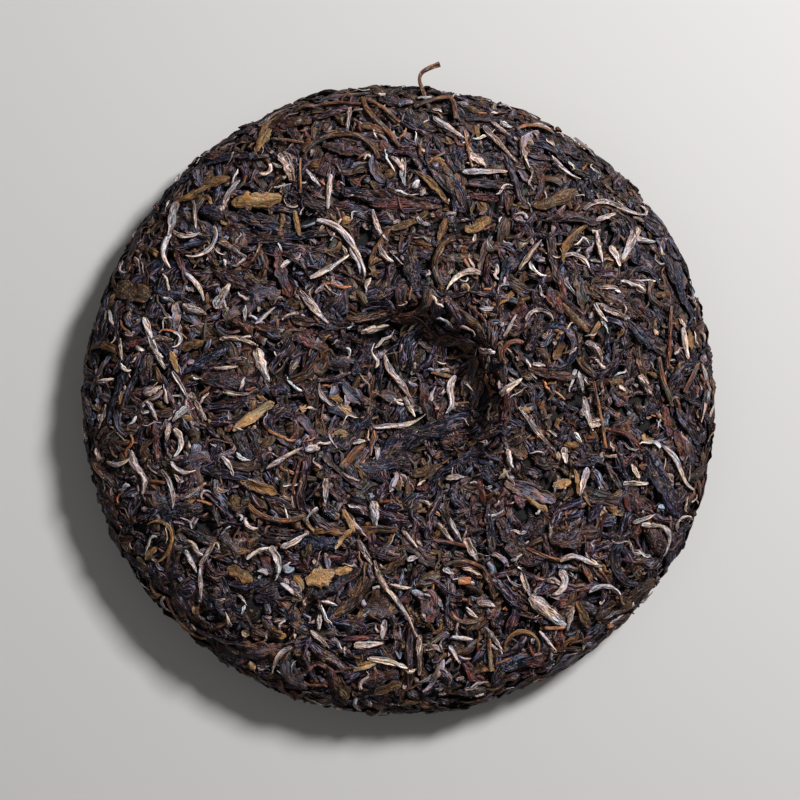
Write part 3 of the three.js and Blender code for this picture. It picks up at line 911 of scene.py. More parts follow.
# Grain of each pattern across the leaf, through it and along it, in waves per millimetre
FIBRE_GRAIN = (3.0, 3.0, 0.32)
CREASE_GRAIN = (0.45, 0.45, 0.1)
RIDGE_GRAIN = (0.5, 0.5, 0.11)
BLOTCH_GRAIN = (0.35, 0.35, 0.22)
HUE_GRAIN = (0.36, 0.36, 0.2)
SPECKLE_GRAIN = (5.0, 5.0, 2.5)
FLECK_GRAIN = (2.4, 2.4, 1.1)
MARGIN_GRAIN = (0.9, 0.9, 0.3)
SOFT_DETAIL = 2.0
BLOTCH_DETAIL = 3.0
FIBRE_DETAIL = 4.0

# Shifts that keep two patterns of like grain apart
RIDGE_SHIFT = (31.0, 7.0, 3.0)
HUE_SHIFT = (3.0, 7.0, 1.0)
FLECK_SHIFT = (5.0, 11.0, 3.0)
MARGIN_SHIFT = (9.0, 2.0, 4.0)

# Where each pattern starts and ends
STREAK_SPAN = (0.36, 0.64)
STREAK_PALE = 1.3
CREASE_SPAN = (0.004, 0.028)
CREASE_BED = 0.15
RIDGE_SPAN = (0.008, 0.026)
RIDGE_SIDE = (-0.1, 0.3)
SPECKLE_SPAN = (0.3, 0.7)
SPECKLE_SHADES = (0.5, 1.5)
FLECK_SPAN = (0.65, 0.7)
FLECK_PALE = 0.75
MARGIN_LEVEL = 0.12
MARGIN_SPAN = (0.04, 0.26)
MARGIN_BREAKS = (0.44, 0.54)
WORN_AND_HIGHLIT_SPAN = (1.1, 1.7)
WORN_AND_HIGHLIT_FIBRES = 3.5
BLOTCH_DRIFT = 0.4

# Painted shade: leaves deep in the gaps and the sides that face down are darkened
SUNK_DEPTHS = (-2.2, -0.5)
SUNK_SHADE = 0.4
BELLY_LEVELS = (-0.35, 0.3)
BELLY_SHADE = 0.45

# Relief of the fibres, creases and ridges, as shares of the wrinkles' height
FIBRE_RELIEF = 0.22
CREASE_RELIEF = 1.2
RIDGE_RELIEF = 0.25
GLOSS_DRIFT = 0.6
LEAF_SHEEN = 0.2


def leaf_finish(name, stops, highlight_and_wear=0.5, highlight_wear_and_fleck_colour=(158, 140, 152), roughness=0.5, crease_and_groove_shade=0.75, streak=0.24,
                wrinkle=0.4, drift=0.85):
    """Dry leaf: its own tone from the ramp in blotches, with a few long creases over fine streaks. The
    bottoms of the creases and of the fold get painted shade, the upper side of the ridges beside them
    and the leaf's edges painted highlights, and its top a paleness that is partly wear and partly
    painted highlight. Deep leaves and the sides that face down get painted shade. wrinkle is the
    height of its relief in millimetres."""
    material, bench = new_finish(name)
    grain = bench.add("ShaderNodeAttribute", {"attribute_name": "grain"}, output=1)
    tone, crest, groove, rise, shade = [
        bench.add("ShaderNodeAttribute", {"attribute_name": mark}, output=2)
        for mark in ("tone", "crest", "groove", "rise", "shade")
    ]

    def noise(vector, detail=SOFT_DETAIL):
        return bench.add("ShaderNodeTexNoise", None, {"Vector": vector, "Scale": 1.0, "Detail": detail})

    def larger(first, second):
        return bench.add("ShaderNodeMath", {"operation": "MAXIMUM"}, {0: first, 1: second})

    fibres = noise(grain * FIBRE_GRAIN, FIBRE_DETAIL)
    blotch = noise(grain * BLOTCH_GRAIN, BLOTCH_DETAIL)
    from_crease = abs(noise(grain * CREASE_GRAIN) - 0.5)
    from_ridge = abs(noise(grain * RIDGE_GRAIN + RIDGE_SHIFT) - 0.5)
    own = bench.add("ShaderNodeValToRGB", {"stops": stops}, {"Fac": tone + (blotch - 0.5) * BLOTCH_DRIFT})
    hue = bench.add("ShaderNodeValToRGB", {"stops": HUES}, {"Fac": noise(grain * HUE_GRAIN + HUE_SHIFT)})
    hue = bench.mix(drift, PLAIN, hue) * (1 / PLAIN[0])

    streaks = bench.span(fibres, *STREAK_SPAN, 1 - streak, 1 + STREAK_PALE * streak)
    # Painted shade in the bottoms of the creases
    crease_line_shade = bench.span(from_crease, *CREASE_SPAN, 1 - crease_and_groove_shade, 1.0)
    speckle = bench.span(noise(grain * SPECKLE_GRAIN), *SPECKLE_SPAN, *SPECKLE_SHADES)
    # Painted shade for deep leaves and the sides that face down, times the painted shade of the edge and the
    # dimple's wall
    painted_shade = bench.span(rise, *SUNK_DEPTHS, SUNK_SHADE, 1.0) * shade
    painted_shade = painted_shade * bench.span(crest, *BELLY_LEVELS, BELLY_SHADE, 1.0)
    # The fold groove of each leaf gets painted shade too
    shaded = own * (streaks * crease_line_shade * speckle * painted_shade * (1 - groove * crease_and_groove_shade))

    # Painted highlights: thin pale lines on the upper side of the ridges and along the leaf's edges, and a
    # pale top that is partly wear and partly painted highlight
    ridge = bench.span(from_ridge, *RIDGE_SPAN, 1.0, 0.0)
    worn_and_highlit = bench.span(crest + (fibres - 0.5) * WORN_AND_HIGHLIT_FIBRES, *WORN_AND_HIGHLIT_SPAN)
    broken = bench.span(noise(grain * MARGIN_GRAIN + MARGIN_SHIFT), *MARGIN_BREAKS)
    edge_highlight = bench.span(abs(crest - MARGIN_LEVEL), *MARGIN_SPAN, 1.0, 0.0) * broken
    fleck = bench.span(noise(grain * FLECK_GRAIN + FLECK_SHIFT), *FLECK_SPAN)
    pale = larger(larger(ridge * bench.span(crest, *RIDGE_SIDE), worn_and_highlit), edge_highlight)
    highlight_wear_and_flecks = larger(pale * highlight_and_wear, fleck * FLECK_PALE)
    colour = bench.mix(highlight_wear_and_flecks * painted_shade, shaded, pigment(*highlight_wear_and_fleck_colour)) * hue

    relief = fibres * FIBRE_RELIEF + ridge * RIDGE_RELIEF
    relief = relief + bench.span(from_crease, 0.0, CREASE_BED) * CREASE_RELIEF
    bump = bench.add("ShaderNodeBump", None, {"Strength": 1.0, "Distance": wrinkle * MM, "Height": relief})
    gloss = roughness + (blotch - 0.5) * GLOSS_DRIFT
    close_finish(bench, colour, gloss, bump, **{"Specular IOR Level": LEAF_SHEEN})
    return material


# The drawn width is that of the bud's body, and the down stands out past it
DOWN_WIDTH = 1.45
BUD_FOOT_TONE = 0.6
BUD_TIP_TONE = 1.05
bud_stops = [
    (0.0, pigment(122, 98, 90)),
    (0.3, pigment(168, 142, 132)),
    (0.5, pigment(190, 174, 174)),
    (0.7, pigment(222, 202, 190)),
    (1.0, pigment(255, 245, 234)),
]
bud_down = leaf_finish(
    "bud_down",
    bud_stops,
    highlight_and_wear=0.6,
    highlight_wear_and_fleck_colour=(252, 240, 232),
    roughness=0.75,
    streak=0.35,
    drift=0.45,
)
drawn = np.array(DRAWN_BUDS, float)
large_buds = grow_leaves(
    seen_at(drawn),
    seed=50,
    depth=(-0.1, 0.2),
    stations=20,
    flatness=(0.14, 0.26),
    ends=(0.12, 0.5),
    taper=0.55,
    bank=12,
    roll=30,
    tuck=0.5,
    ragged=0.18,
    drawn=drawn,
)
large_buds["half_width"] *= DOWN_WIDTH
large_buds["tone"] *= np.linspace(BUD_FOOT_TONE, BUD_TIP_TONE, large_buds["tone"].shape[1])
keep_uppermost(large_buds)
small_buds = grow_leaves(
    spread(count=430, share_from=0.0, share_to=0.55, seed=51),
    seed=51,
    depth=(-0.1, 0.7),
    stations=8,
    length=(2.5, 9),
    width=(0.5, 1.9),
    flatness=(0.16, 0.4),
    ends=(0.15, 0.6),
    taper=0.6,
    bend=(50, 130),
    ragged=0.3,
)
sweep_leaves(
    "pale_buds",
    [large_buds, small_buds],
    bud_down,
    round_points=9,
    fold_depth=0.4,
    crumple=0.5,
    press=0.6,
)

# Olive and ochre flakes
# Older leaves that dried flat: broken flakes with wavy edges, yellow-brown to olive, with veins.
# They lie flat in the skin of the cake, held by the leaves around them.

# Rows as for the buds. The last value runs from brown (0) over olive to pale ochre (1).
DRAWN_FLAKES = (
    (-45, 62, 5, 16, 5, 10, 0, 0.8),
    (24, 54, 20, 9, 4, 0, 0, 0.7),
    (48, 62, 20, 15, 5, 25, 0, 0.35),
    (53, 50, -125, 15, 2.5, 65, 0, 0.6),
    (10, 67, -45, 15, 2.2, -20, 0, 0.5),
    (-46, -5, 35, 15, 3.6, -20, 0, 1),
    (-44, -27, -20, 12, 3.5, 0, 0, 0.65),
    (-50, -54, -25, 9, 4.5, 0, 0, 0.65),
    (-25, -55, 20, 9, 6, 0, 0, 0.95),
    (-18, -53, 10, 6, 2.8, 0, 0, 0.9),
    (-10, -82, 10, 7, 2, 0, 0, 0.6),
    (-4, -90, 20, 9, 4, 0, 0, 0.4),
    (-18, -90, -70, 9, 4, 0, 0, 0.3),
    (50, -26, 15, 6, 3, 0, 0, 0.95),
    (42, -32, -35, 9, 2.4, 0, 0, 0.85),
    (57, -67, -65, 10, 2.8, 0, 0, 0.5),
    (-84, 34, -15, 13, 6.5, 0, 0, 0.25),
    (-65, 64, 20, 12, 2.4, 20, 0, 0.7),
    (-58, 68, 10, 10, 3.4, 0, 0, 0.55),
    (-43, 81, 60, 9, 3.2, 0, 0, 0.85),
    (-42, 86, 60, 10, 1.8, -30, 0, 0.75),
    (-9, 85, -15, 8, 2.5, -40, 0, 0.5),
    (-32, 55, -80, 8, 1.8, 0, 0, 0.8),
    (3, 55, 25, 13, 2.8, 20, 0, 0.45),
    (13, 53, -110, 8, 2, 0, 0, 0.5),
    (56, 44, -40, 7, 1.3, 0, 0, 0.85),
    (-70, 12, -70, 7, 2, 0, 0, 0.9),
    (-65, 17, 20, 8, 3, 0, 0, 0.35),
    (54, 26, -45, 13, 3.5, 0, 0, 0.4),
    (49, 15, 60, 6, 2.5, 0, 0, 0.5),
    (91, 19, -80, 6, 2.2, 0, 0, 0.7),
    (53, -14, 0, 5, 2.6, 0, 0, 0.6),
    (-71, -42, -75, 22, 1.4, -200, -15, 0.75),
    (-78, -48, 45, 6, 2.4, 0, 0, 0.85),
    (-11, -83, 20, 8, 1.8, 0, 0, 1),
    (-18, -43, 50, 8, 1.8, -30, 0, 0.95),
    (3, -95, 10, 7, 2, -40, 0, 0.6),
    (55, -25, -80, 8, 1.4, -30, 0, 0.85),
    (38, -72, -5, 20, 1.4, -210, 0, 0.65),
    (13, 8, -10, 7, 1.3, 0, 0, 0.6),
    (-16, -37, -60, 8, 2, 0, 0, 0.9),
    (31, 15, -90, 6, 1.8, 0, 0, 0.5),
    (8, -22, 20, 10, 4.5, 0, 0, 0.25),
)
FEWER_PALE = 1.8
flake_stops = [
    (0.0, pigment(52, 38, 34)),
    (0.3, pigment(78, 56, 44)),
    (0.55, pigment(108, 78, 54)),
    (0.8, pigment(146, 108, 68)),
    (1.0, pigment(186, 150, 112)),
]
flake = leaf_finish(
    "olive_leaf",
    flake_stops,
    highlight_and_wear=0.35,
    highlight_wear_and_fleck_colour=(186, 160, 112),
    roughness=0.6,
    crease_and_groove_shade=0.5,
    streak=0.3,
    wrinkle=0.25,
    drift=0.45,
)
drawn = np.array(DRAWN_FLAKES, float)
large_flakes = grow_leaves(
    seen_at(drawn),
    seed=52,
    depth=(0.1, 0.4),
    stations=18,
    flatness=(0.05, 0.08),
    ends=(0.05, 0.3),
    curl=0.3,
    bank=8,
    roll=20,
    tuck=0.6,
    ragged=0.2,
    torn=0.1,
    drawn=drawn,
)
keep_uppermost(large_flakes)
small_flakes = grow_leaves(
    spread(count=340, share_from=0.0, share_to=0.58, seed=53),
    seed=53,
    depth=(0.4, 1.2),
    stations=8,
    length=(3, 9),
    width=(1.4, 3.4),
    flatness=(0.12, 0.25),
    curl=0.4,
    roll=35,
    ragged=0.2,
    torn=0.15,
)
small_flakes["tone"] **= FEWER_PALE
sweep_leaves(
    "olive_flakes",
    [large_flakes, small_flakes],
    flake,
    round_points=10,
    fold_depth=0.2,
    crumple=0.9,
    roundness=0.6,
    pleats=0.12,
)

# Stems and stalks
# Thin woody stems, straight or sprung into hoops, from dark brown to orange, tan and dull red.
# They were pressed in with the leaves, and their ends go down among them.

# Rows as for the buds. The last value is the place in the ramp of bark colours below.
DRAWN_STEMS = (
    (-19, 93, 0, 13, 1, -10, 0, 0.7),
    (44, -48, -20, 11, 1.2, 10, 0, 0.5),
    (-39, -37, -10, 19, 1.6, 80, 0, 0.5),
    (-18, 83, -5, 29, 2, -130, 5, 0.12),
    (-7, 87, -55, 21, 1.7, 20, 10, 0.45),
    (-5, 91, -40, 13, 1.1, -10, 0, 0.82),
    (11, 44, -105, 20, 1.8, 115, 0, 0.1),
    (21, 79, -80, 11, 0.8, 0, 0, 0.9),
    (-35, 81, -10, 10, 0.8, 0, 0, 0.8),
    (-31, 70, -90, 11, 0.8, 0, 0, 0.8),
    (62, -4, -80, 21, 1.1, 0, 0, 0.8),
    (82, 6, -75, 16, 1.5, 15, 0, 0.45),
    (-69, -70, -45, 20, 1, 95, -10, 0.6),
    (15, -44, -10, 10, 1, 0, 0, 0.7),
    (28, -80, -85, 9, 1.2, 0, 0, 0.9),
    (20, -50, 0, 13, 1.2, -80, 0, 0.4),
    (20, -69, -10, 12, 1.2, 95, 0, 0.6),
    (33, 17, -130, 12, 1.6, 160, 0, 0.7),
    (20, -56, 0, 4, 2.5, 0, 0, 1),
    (66, -71, 0, 2, 1.5, 0, 0, 1),
    (10, 94, 20, 13, 1.6, -20, 0, 0.45),
    (17, 92, -80, 9, 1.6, -30, 0, 0.5),
    (42, 86, 0, 13, 1.2, -80, 0, 0.85),
    (84, 20, -95, 20, 1.2, 0, 0, 0.66),
    (91, 7, 60, 11, 1.6, 0, 0, 0.75),
    (48, -71, 0, 6, 1.2, 0, 0, 1),
    (28, -78, -85, 8, 1, 0, 0, 0.82),
    (-32, -23, -105, 10, 0.9, 0, 0, 0.68),
)
stem_stops = [
    (0.0, pigment(58, 44, 40)),
    (0.3, pigment(84, 64, 54)),
    (0.5, pigment(108, 78, 62)),
    (0.68, pigment(100, 54, 46)),
    (0.82, pigment(142, 106, 80)),
    (1.0, pigment(196, 134, 94)),
]
stem = leaf_finish(
    "stem_bark",
    stem_stops,
    highlight_and_wear=0.35,
    highlight_wear_and_fleck_colour=(196, 160, 130),
    crease_and_groove_shade=0.5,
    streak=0.35,
)
drawn = np.array(DRAWN_STEMS, float)
long_stems = grow_leaves(
    seen_at(drawn),
    seed=54,
    depth=(-0.1, 0.1),
    stations=22,
    flatness=(0.6, 0.8),
    ends=(0.7, 0.9),
    curl=0.0,
    bank=5,
    roll=20,
    tuck=0.5,
    ragged=0.08,
    drawn=drawn,
)
keep_uppermost(long_stems)
small_stems = grow_leaves(
    spread(count=300, share_from=0.0, share_to=0.58, seed=55),
    seed=55,
    depth=(0.1, 1.0),
    stations=8,
    length=(3, 11),
    width=(0.6, 1.1),
    flatness=(0.6, 0.9),
    ends=(0.6, 0.9),
    bend=(20, 70),
    curl=0.0,
    ragged=0.1,
)
sweep_leaves("stems", [long_stems, small_stems], stem, fold_depth=0.15, crumple=0.2, press=0.5)

# Loose stem at the top edge
# One thin dry stem has sprung out of the edge and stands clear of it, hooked over to the right. Its
# foot is pressed in among the leaves of the edge. Its middle line is in millimetres.
LOOSE_STEM = (
    (10.8, 88.0, 17.4),
    (8.6, 92.6, 16.6),
    (7.3, 96.8, 15.4),
    (5.9, 100.2, 14.6),
    (6.5, 102.8, 14.1),
    (9.2, 104.4, 13.7),
    (12.5, 105.6, 13.4),
)
LOOSE_STEM_WIDTH = 1.4
LOOSE_STEM_DEPTH = 0.84
LOOSE_STEM_LENGTH = 24
LOOSE_STEM_STATIONS = 28
LOOSE_STEM_ROUNDINGS = 4
KNOB_HEIGHT = 0.14
KNOB_RATE = 9
TIP_SWELL = 0.25
TIP_START = 0.93
TIP_RUN = 0.05
BARK_FOLD = 1.9
BARK_TONES = (0.1, 0.4)
BARK_MARK = 40.0
corner_run = np.linspace(0, 1, len(LOOSE_STEM))
t = np.linspace(0, 1, LOOSE_STEM_STATIONS)
line = np.stack([np.interp(t, corner_run, axis) for axis in np.array(LOOSE_STEM).T], -1)
for _ in range(LOOSE_STEM_ROUNDINGS):
    line[1:-1] = 0.25 * line[:-2] + 0.5 * line[1:-1] + 0.25 * line[2:]
ahead = np.gradient(line, axis=0)
ahead /= np.linalg.norm(ahead, axis=-1, keepdims=True)
across = np.cross((0.0, 0.0, 1.0), ahead)
across /= np.linalg.norm(across, axis=-1, keepdims=True)
knobs = 1 + KNOB_HEIGHT * np.sin(KNOB_RATE * t) + TIP_SWELL * smooth((t - TIP_START) / TIP_RUN)
stem_radius = LOOSE_STEM_WIDTH / 2
loose_stem = {
    "path": line[None],
    "across": across[None],
    "up": np.cross(ahead, across)[None],
    "skin": np.zeros((1, LOOSE_STEM_STATIONS, 3)),
    "lift": np.zeros((1, LOOSE_STEM_STATIONS)),
    "half_width": (stem_radius * knobs)[None],
    "half_thick": (stem_radius * LOOSE_STEM_DEPTH * knobs)[None],
    "fold": np.full((1, LOOSE_STEM_STATIONS), BARK_FOLD),
    "curl": np.zeros((1, LOOSE_STEM_STATIONS)),
    "tone": np.linspace(*BARK_TONES, LOOSE_STEM_STATIONS)[None],
    "shade": np.ones((1, LOOSE_STEM_STATIONS)),
    "distance": (LOOSE_STEM_LENGTH * t)[None],
    "mark": np.full((1, LOOSE_STEM_STATIONS, 3), BARK_MARK),
}
keep_uppermost(loose_stem)
sweep_leaves("loose_stem", [loose_stem], stem, round_points=10, fold_depth=0.25, crumple=0.2, press=0.0)

# Broad crumpled leaves
# Larger leaves that weren't rolled tight: wide and thin, crumpled lengthwise into pleats and pressed
# flat, from blue-black and wine brown to grey. The largest are where the picture has them.

# Rows as for the buds. The last value is the place in the ramp of colours below.
DRAWN_BROAD = (
    (-37, 40, -75, 16, 3.5, 20, 0, 0.74),
    (53, 28, -45, 17, 4, 15, 0, 0.45),
    (-76, -12, -85, 12, 2.2, 0, 0, 0.7),
    (-65, -2, -65, 8, 2, 0, 0, 0.7),
    (53, 57, 0, 18, 3, 0, 0, 0.5),
    (86, 40, -65, 20, 4.5, -25, 0, 0.12),
    (88, 9, -140, 18, 4, 95, 0, 0),
    (-73, 66, 35, 15, 2, 0, 0, 0.1),
    (4, 40, -75, 11, 5, 0, 0, 0.15),
    (14, 77, -60, 14, 2.5, 0, 0, 0.05),
    (6, -11, 25, 33, 7, -20, -5, 0.12),
    (-17, -12, 40, 20, 5.5, 10, 0, 0.06),
    (-20, -2, -30, 16, 4.5, 0, 0, 0.16),
    (-11, 12, 60, 12, 5, 60, 0, 0.3),
    (8, 0, -80, 12, 3.5, 0, 0, 0.5),
    (17, -13, 10, 8, 5.5, 0, 0, 0.52),
    (24, 3, 70, 14, 5, 20, 0, 0.34),
    (-5, -20, 10, 18, 5, -15, 0, 0.2),
    (1, 62, -10, 23, 4.5, 10, 0, 0.4),
    (-72, 34, -15, 11, 6, 0, 0, 0.12),
    (-53, 38, -30, 11, 5, 0, 0, 0.4),
    (-56, 58, -20, 13, 4.5, 0, 0, 0.14),
    (-43, 55, -20, 18, 4, 10, 0, 0.1),
    (-85, 46, -105, 20, 3.5, 15, 0, 0.4),
    (82, -26, -60, 25, 6, 5, 0, 0.16),
    (80, -44, -60, 12, 5.5, 0, 0, 0.4),
    (67, -50, -80, 24, 3, 150, 0, 0.14),
    (40, -28, -20, 17, 5, 0, 0, 0.85),
    (38, -48, -15, 13, 4.5, 0, 0, 0.42),
    (50, -75, -85, 8, 4.5, 0, 0, 0.7),
    (58, -19, 10, 10, 3, 0, 0, 0.05),
    (96, 0, -110, 12, 2.5, 0, 0, 0.55),
    (-86, 8, -110, 14, 2.5, 0, 0, 0),
    (-80, 57, 50, 18, 2.4, 0, 0, 0.1),
    (-63, 70, -70, 9, 3.2, 0, 0, 0.85),
    (-54, 76, 5, 20, 2.4, -25, 0, 0.1),
    (-59, 77, 0, 5, 4, 0, 0, 0.55),
    (-42, 50, 0, 15, 2.5, 0, 0, 0.4),
    (-59, 45, -70, 9, 2.4, 30, 0, 0.38),
    (-66, 48, 10, 14, 2, 10, 0, 0.05),
    (-68, 42, -70, 11, 2, -20, 0, 0.7),
    (-19, 96, 5, 18, 2, 0, 0, 0.85),
    (-33, 87, 10, 10, 4, 0, 0, 0.55),
    (-33, 83, -50, 8, 3.6, 0, 0, 0.4),
    (-3, 94, -20, 8, 4, 0, 0, 0.52),
    (-18, 78, -10, 13, 3.5, -20, 0, 0.56),
    (-8, 72, -70, 10, 3, 90, 0, 0.85),
    (8, 75, -60, 14, 2.2, 60, 0, 0.1),
    (-12, 64, -10, 13, 4, 0, 0, 0.12),
    (-2, 61, 5, 14, 3.6, 0, 0, 0.68),
    (-30, 51, 5, 22, 2.2, 0, 0, 0.12),
    (18, 76, -75, 10, 3.5, 0, 0, 0.16),
    (28, 88, 0, 16, 2.4, 0, 0, 0.4),
    (55, 73, -40, 9, 3, 0, 0, 0.14),
    (58, 65, -60, 9, 3.2, 0, 0, 0.16),
    (44, 68, -90, 12, 2.5, -90, 0, 0.56),
    (35, 70, -70, 20, 2.4, 0, 0, 0.3),
    (28, 67, -5, 15, 3, 0, 0, 0.42),
    (26, 63, -10, 9, 2.2, 0, 0, 0.68),
    (26, 46, -110, 12, 2, 30, 0, 0.85),
    (-54, 6, -5, 17, 6, 0, 0, 0.4),
    (-83, 6, -110, 20, 2, 0, 0, 0.02),
    (-88, 3, -110, 20, 2, 0, 0, 0.05),
    (-94, 9, -120, 13, 1.8, 0, 0, 0.85),
    (-79, 10, -95, 10, 4.2, 0, 0, 0.34),
    (-49, -14, -60, 9, 4, 0, 0, 0.12),
    (-44, -14, -70, 12, 5, 0, 0, 0.34),
    (-60, 13, 30, 18, 3, -20, 0, 0.08),
    (-81, 18, 15, 8, 2.2, 0, 0, 0.7),
    (75, 41, 5, 16, 1.8, -150, 0, 0.2),
    (69, 31, -30, 20, 6, -10, 0, 0.5),
    (48, 31, -60, 9, 4.2, 0, 0, 0.72),
    (50, 36, -75, 10, 2.4, 0, 0, 0.66),
    (56, 34, -80, 11, 3.2, 0, 0, 0.98),
    (54, 19, -75, 28, 2.6, -235, 0, 0.14),
    (47, 8, -10, 16, 3.4, 10, 0, 0.52),
    (77, 19, -40, 16, 5, 15, 0, 0.3),
    (91, 0, -20, 13, 2, 0, 0, 0.05),
    (83, -6, -80, 10, 2.3, 0, 0, 0.68),
    (68, 1, -45, 6, 4.6, 0, 0, 0.75),
    (90, -8, -55, 14, 3.6, 0, 0, 0.16),
    (-68, -35, 15, 13, 5, 0, 0, 0.06),
    (-53, -45, -60, 9, 5, 0, 0, 0.98),
    (-47, -57, 5, 14, 3.4, 15, 0, 0.1),
    (-73, -55, 30, 12, 5, 0, 0, 0.3),
    (-54, -23, -10, 16, 3, 0, 0, 0.1),
    (-20, -57, 30, 16, 5, 0, 0, 0.36),
    (-11, -74, 0, 14, 1.8, -40, 0, 0.68),
    (-12, -79, 5, 11, 3, 0, 0, 0.03),
    (-7, -87, 15, 13, 5, 0, 0, 0.52),
    (-20, -90, -70, 16, 3, 0, 0, 0.55),
    (3, -80, -90, 20, 2.2, 0, 0, 0.5),
    (19, -51, -10, 13, 2, 0, 0, 0.66),
    (-25, -45, 0, 12, 6, 0, 0, 0.14),
    (-6, -65, -5, 11, 4.6, 0, 0, 0.96),
    (37, -31, -60, 5, 3, 0, 0, 0.74),
    (28, -40, -80, 14, 3, 0, 0, 0.14),
    (33, -41, -60, 11, 4.2, 0, 0, 0.44),
    (66, -23, -60, 9, 2, 0, 0, 0.96),
    (64, -66, 45, 8, 3.6, 0, 0, 0.5),
    (-25, 24, -10, 18, 3.2, 0, 0, 0.36),
    (-19, 18, -40, 10, 3, 0, 0, 0.14),
    (-22, 20, -10, 7, 3.4, 0, 0, 0.54),
    (22, 8, -110, 14, 4, 0, 0, 0.97),
    (33, 0, -105, 12, 2.4, 0, 0, 0.66),
    (42, 21, 70, 13, 4, 0, 0, 0.34),
    (-37, -12, -40, 16, 1.8, 10, 0, 0.98),
    (-18, -22, -40, 16, 2.2, 0, 0, 0.36),
)
broad_stops = [
    (0.0, pigment(20, 18, 25)),
    (0.18, pigment(33, 36, 52)),
    (0.36, pigment(46, 29, 31)),
    (0.52, pigment(74, 53, 46)),
    (0.7, pigment(96, 48, 39)),
    (0.85, pigment(110, 99, 105)),
    (1.0, pigment(74, 63, 46)),
]
broad_leaf = leaf_finish("broad_leaf", broad_stops, highlight_and_wear=0.35, highlight_wear_and_fleck_colour=(158, 140, 148), wrinkle=0.35)
drawn = np.array(DRAWN_BROAD, float)
placed_broad = grow_leaves(
    seen_at(drawn),
    seed=56,
    depth=(0.3, 0.6),
    stations=18,
    flatness=(0.07, 0.12),
    ends=(0.1, 0.5),
    curl=0.25,
    bank=8,
    roll=15,
    torn=0.12,
    drawn=drawn,
)
keep_uppermost(placed_broad)
more_broad = grow_leaves(
    spread(count=100, share_from=0.0, share_to=0.58, seed=57),
    seed=57,
    depth=(0.2, 0.7),
    stations=14,
    length=(9, 20),
    width=(3.2, 6.5),
    flatness=(0.06, 0.11),
    bend=(25, 70),
    curl=0.25,
    bank=8,
    roll=18,
    torn=0.15,
)
keep_uppermost(more_broad)
sweep_leaves(
    "broad_leaves",
    [placed_broad, more_broad],
    broad_leaf,
    round_points=16,
    fold_depth=0.3,
    crumple=0.9,
    roundness=0.55,
    pleats=0.16,
)

# Dark twisted leaves
# Nearly half of the leaves: whole ones rolled lengthwise into narrow strips before drying, nearly
# black with a brown, blue or purple cast. They lie every way round, and along the edge near it, and
# their ends dive under their neighbours. The long brown ones are laid here too, to lie with them.
dark_stops = [
    (0.0, pigment(15, 14, 19)),
    (0.18, pigment(27, 30, 45)),
    (0.34, pigment(34, 20, 20)),
    (0.5, pigment(34, 36, 54)),
    (0.66, pigment(67, 36, 38)),
    (0.82, pigment(40, 24, 34)),
    (1.0, pigment(59, 41, 34)),
]
dark_leaf = leaf_finish("dark_leaf", dark_stops, highlight_and_wear=0.6, roughness=0.42)
long_dark = grow_leaves(
    spread(count=430, share_from=0.0, share_to=0.6, seed=22),
    seed=22,
    depth=(0.15, 0.8),
    stations=15,
    length=(14, 29),
    width=(1.8, 3.8),
    flatness=(0.1, 0.25),
    roll=20,
    ragged=0.18,
    broad=0.4,
)
long_brown = grow_leaves(
    spread(count=270, share_from=0.0, share_to=0.6, seed=31),
    seed=31,
    depth=(0.2, 0.9),
    stations=14,
    length=(12, 25),
    width=(1.8, 3.8),
    flatness=(0.1, 0.25),
    roll=20,
    ragged=0.2,
    broad=0.45,
)
keep_uppermost(long_dark)
keep_uppermost(long_brown)
sweep_leaves("dark_long_leaves", [long_dark], dark_leaf, round_points=10, crumple=0.5, pleats=0.1)
short_dark = grow_leaves(
    spread(count=620, share_from=0.0, share_to=0.6, seed=23),
    seed=23,
    depth=(0.5, 1.4),
    stations=9,
    length=(5, 13),
    width=(1.2, 3.0),
    broad=0.15,
    torn=0.1,
)
sweep_leaves("dark_short_leaves", [short_dark], dark_leaf, round_points=9, crumple=0.6)
bed = grow_leaves(
    spread(count=720, share_from=0.0, share_to=0.62, seed=21),
    seed=21,
    depth=(1.4, 2.3),
    stations=7,
    length=(9, 16),
    width=(2.0, 3.8),
)
under_dark = grow_leaves(
    spread(count=600, share_from=0.6, share_to=1.0, seed=24),
    seed=24,
    depth=(0.5, 1.6),
    stations=8,
    length=(11, 24),
    width=(2.8, 5.8),
)
sweep_leaves("dark_bed_leaves", [bed, under_dark], dark_leaf, round_points=5)

# Brown and red-brown leaves
# About a sixth of the leaves: the same rolled leaves, from older shoots, dried to brown. They are
# pressed in among the dark ones, on both sides of the cake.
brown_stops = [
    (0.0, pigment(46, 34, 34)),
    (0.2, pigment(72, 52, 42)),
    (0.4, pigment(92, 72, 58)),
    (0.55, pigment(70, 56, 40)),
    (0.7, pigment(84, 42, 38)),
    (0.85, pigment(116, 84, 56)),
    (1.0, pigment(66, 40, 42)),
]
brown_leaf = leaf_finish("brown_leaf", brown_stops, highlight_wear_and_fleck_colour=(164, 142, 130), roughness=0.48)
short_brown = grow_leaves(
    spread(count=420, share_from=0.0, share_to=0.6, seed=32),
    seed=32,
    depth=(0.5, 1.4),
    stations=8,
    length=(4, 12),
    width=(1.1, 3.0),
    broad=0.2,
    torn=0.1,
)
under_brown = grow_leaves(
    spread(count=260, share_from=0.6, share_to=1.0, seed=33),
    seed=33,
    depth=(0.3, 1.0),
    stations=8,
    length=(9, 22),
    width=(2.4, 5.2),
)
brown_groups = [long_brown, short_brown, under_brown]
sweep_leaves("brown_leaves", brown_groups, brown_leaf, round_points=9, crumple=0.6, pleats=0.1)

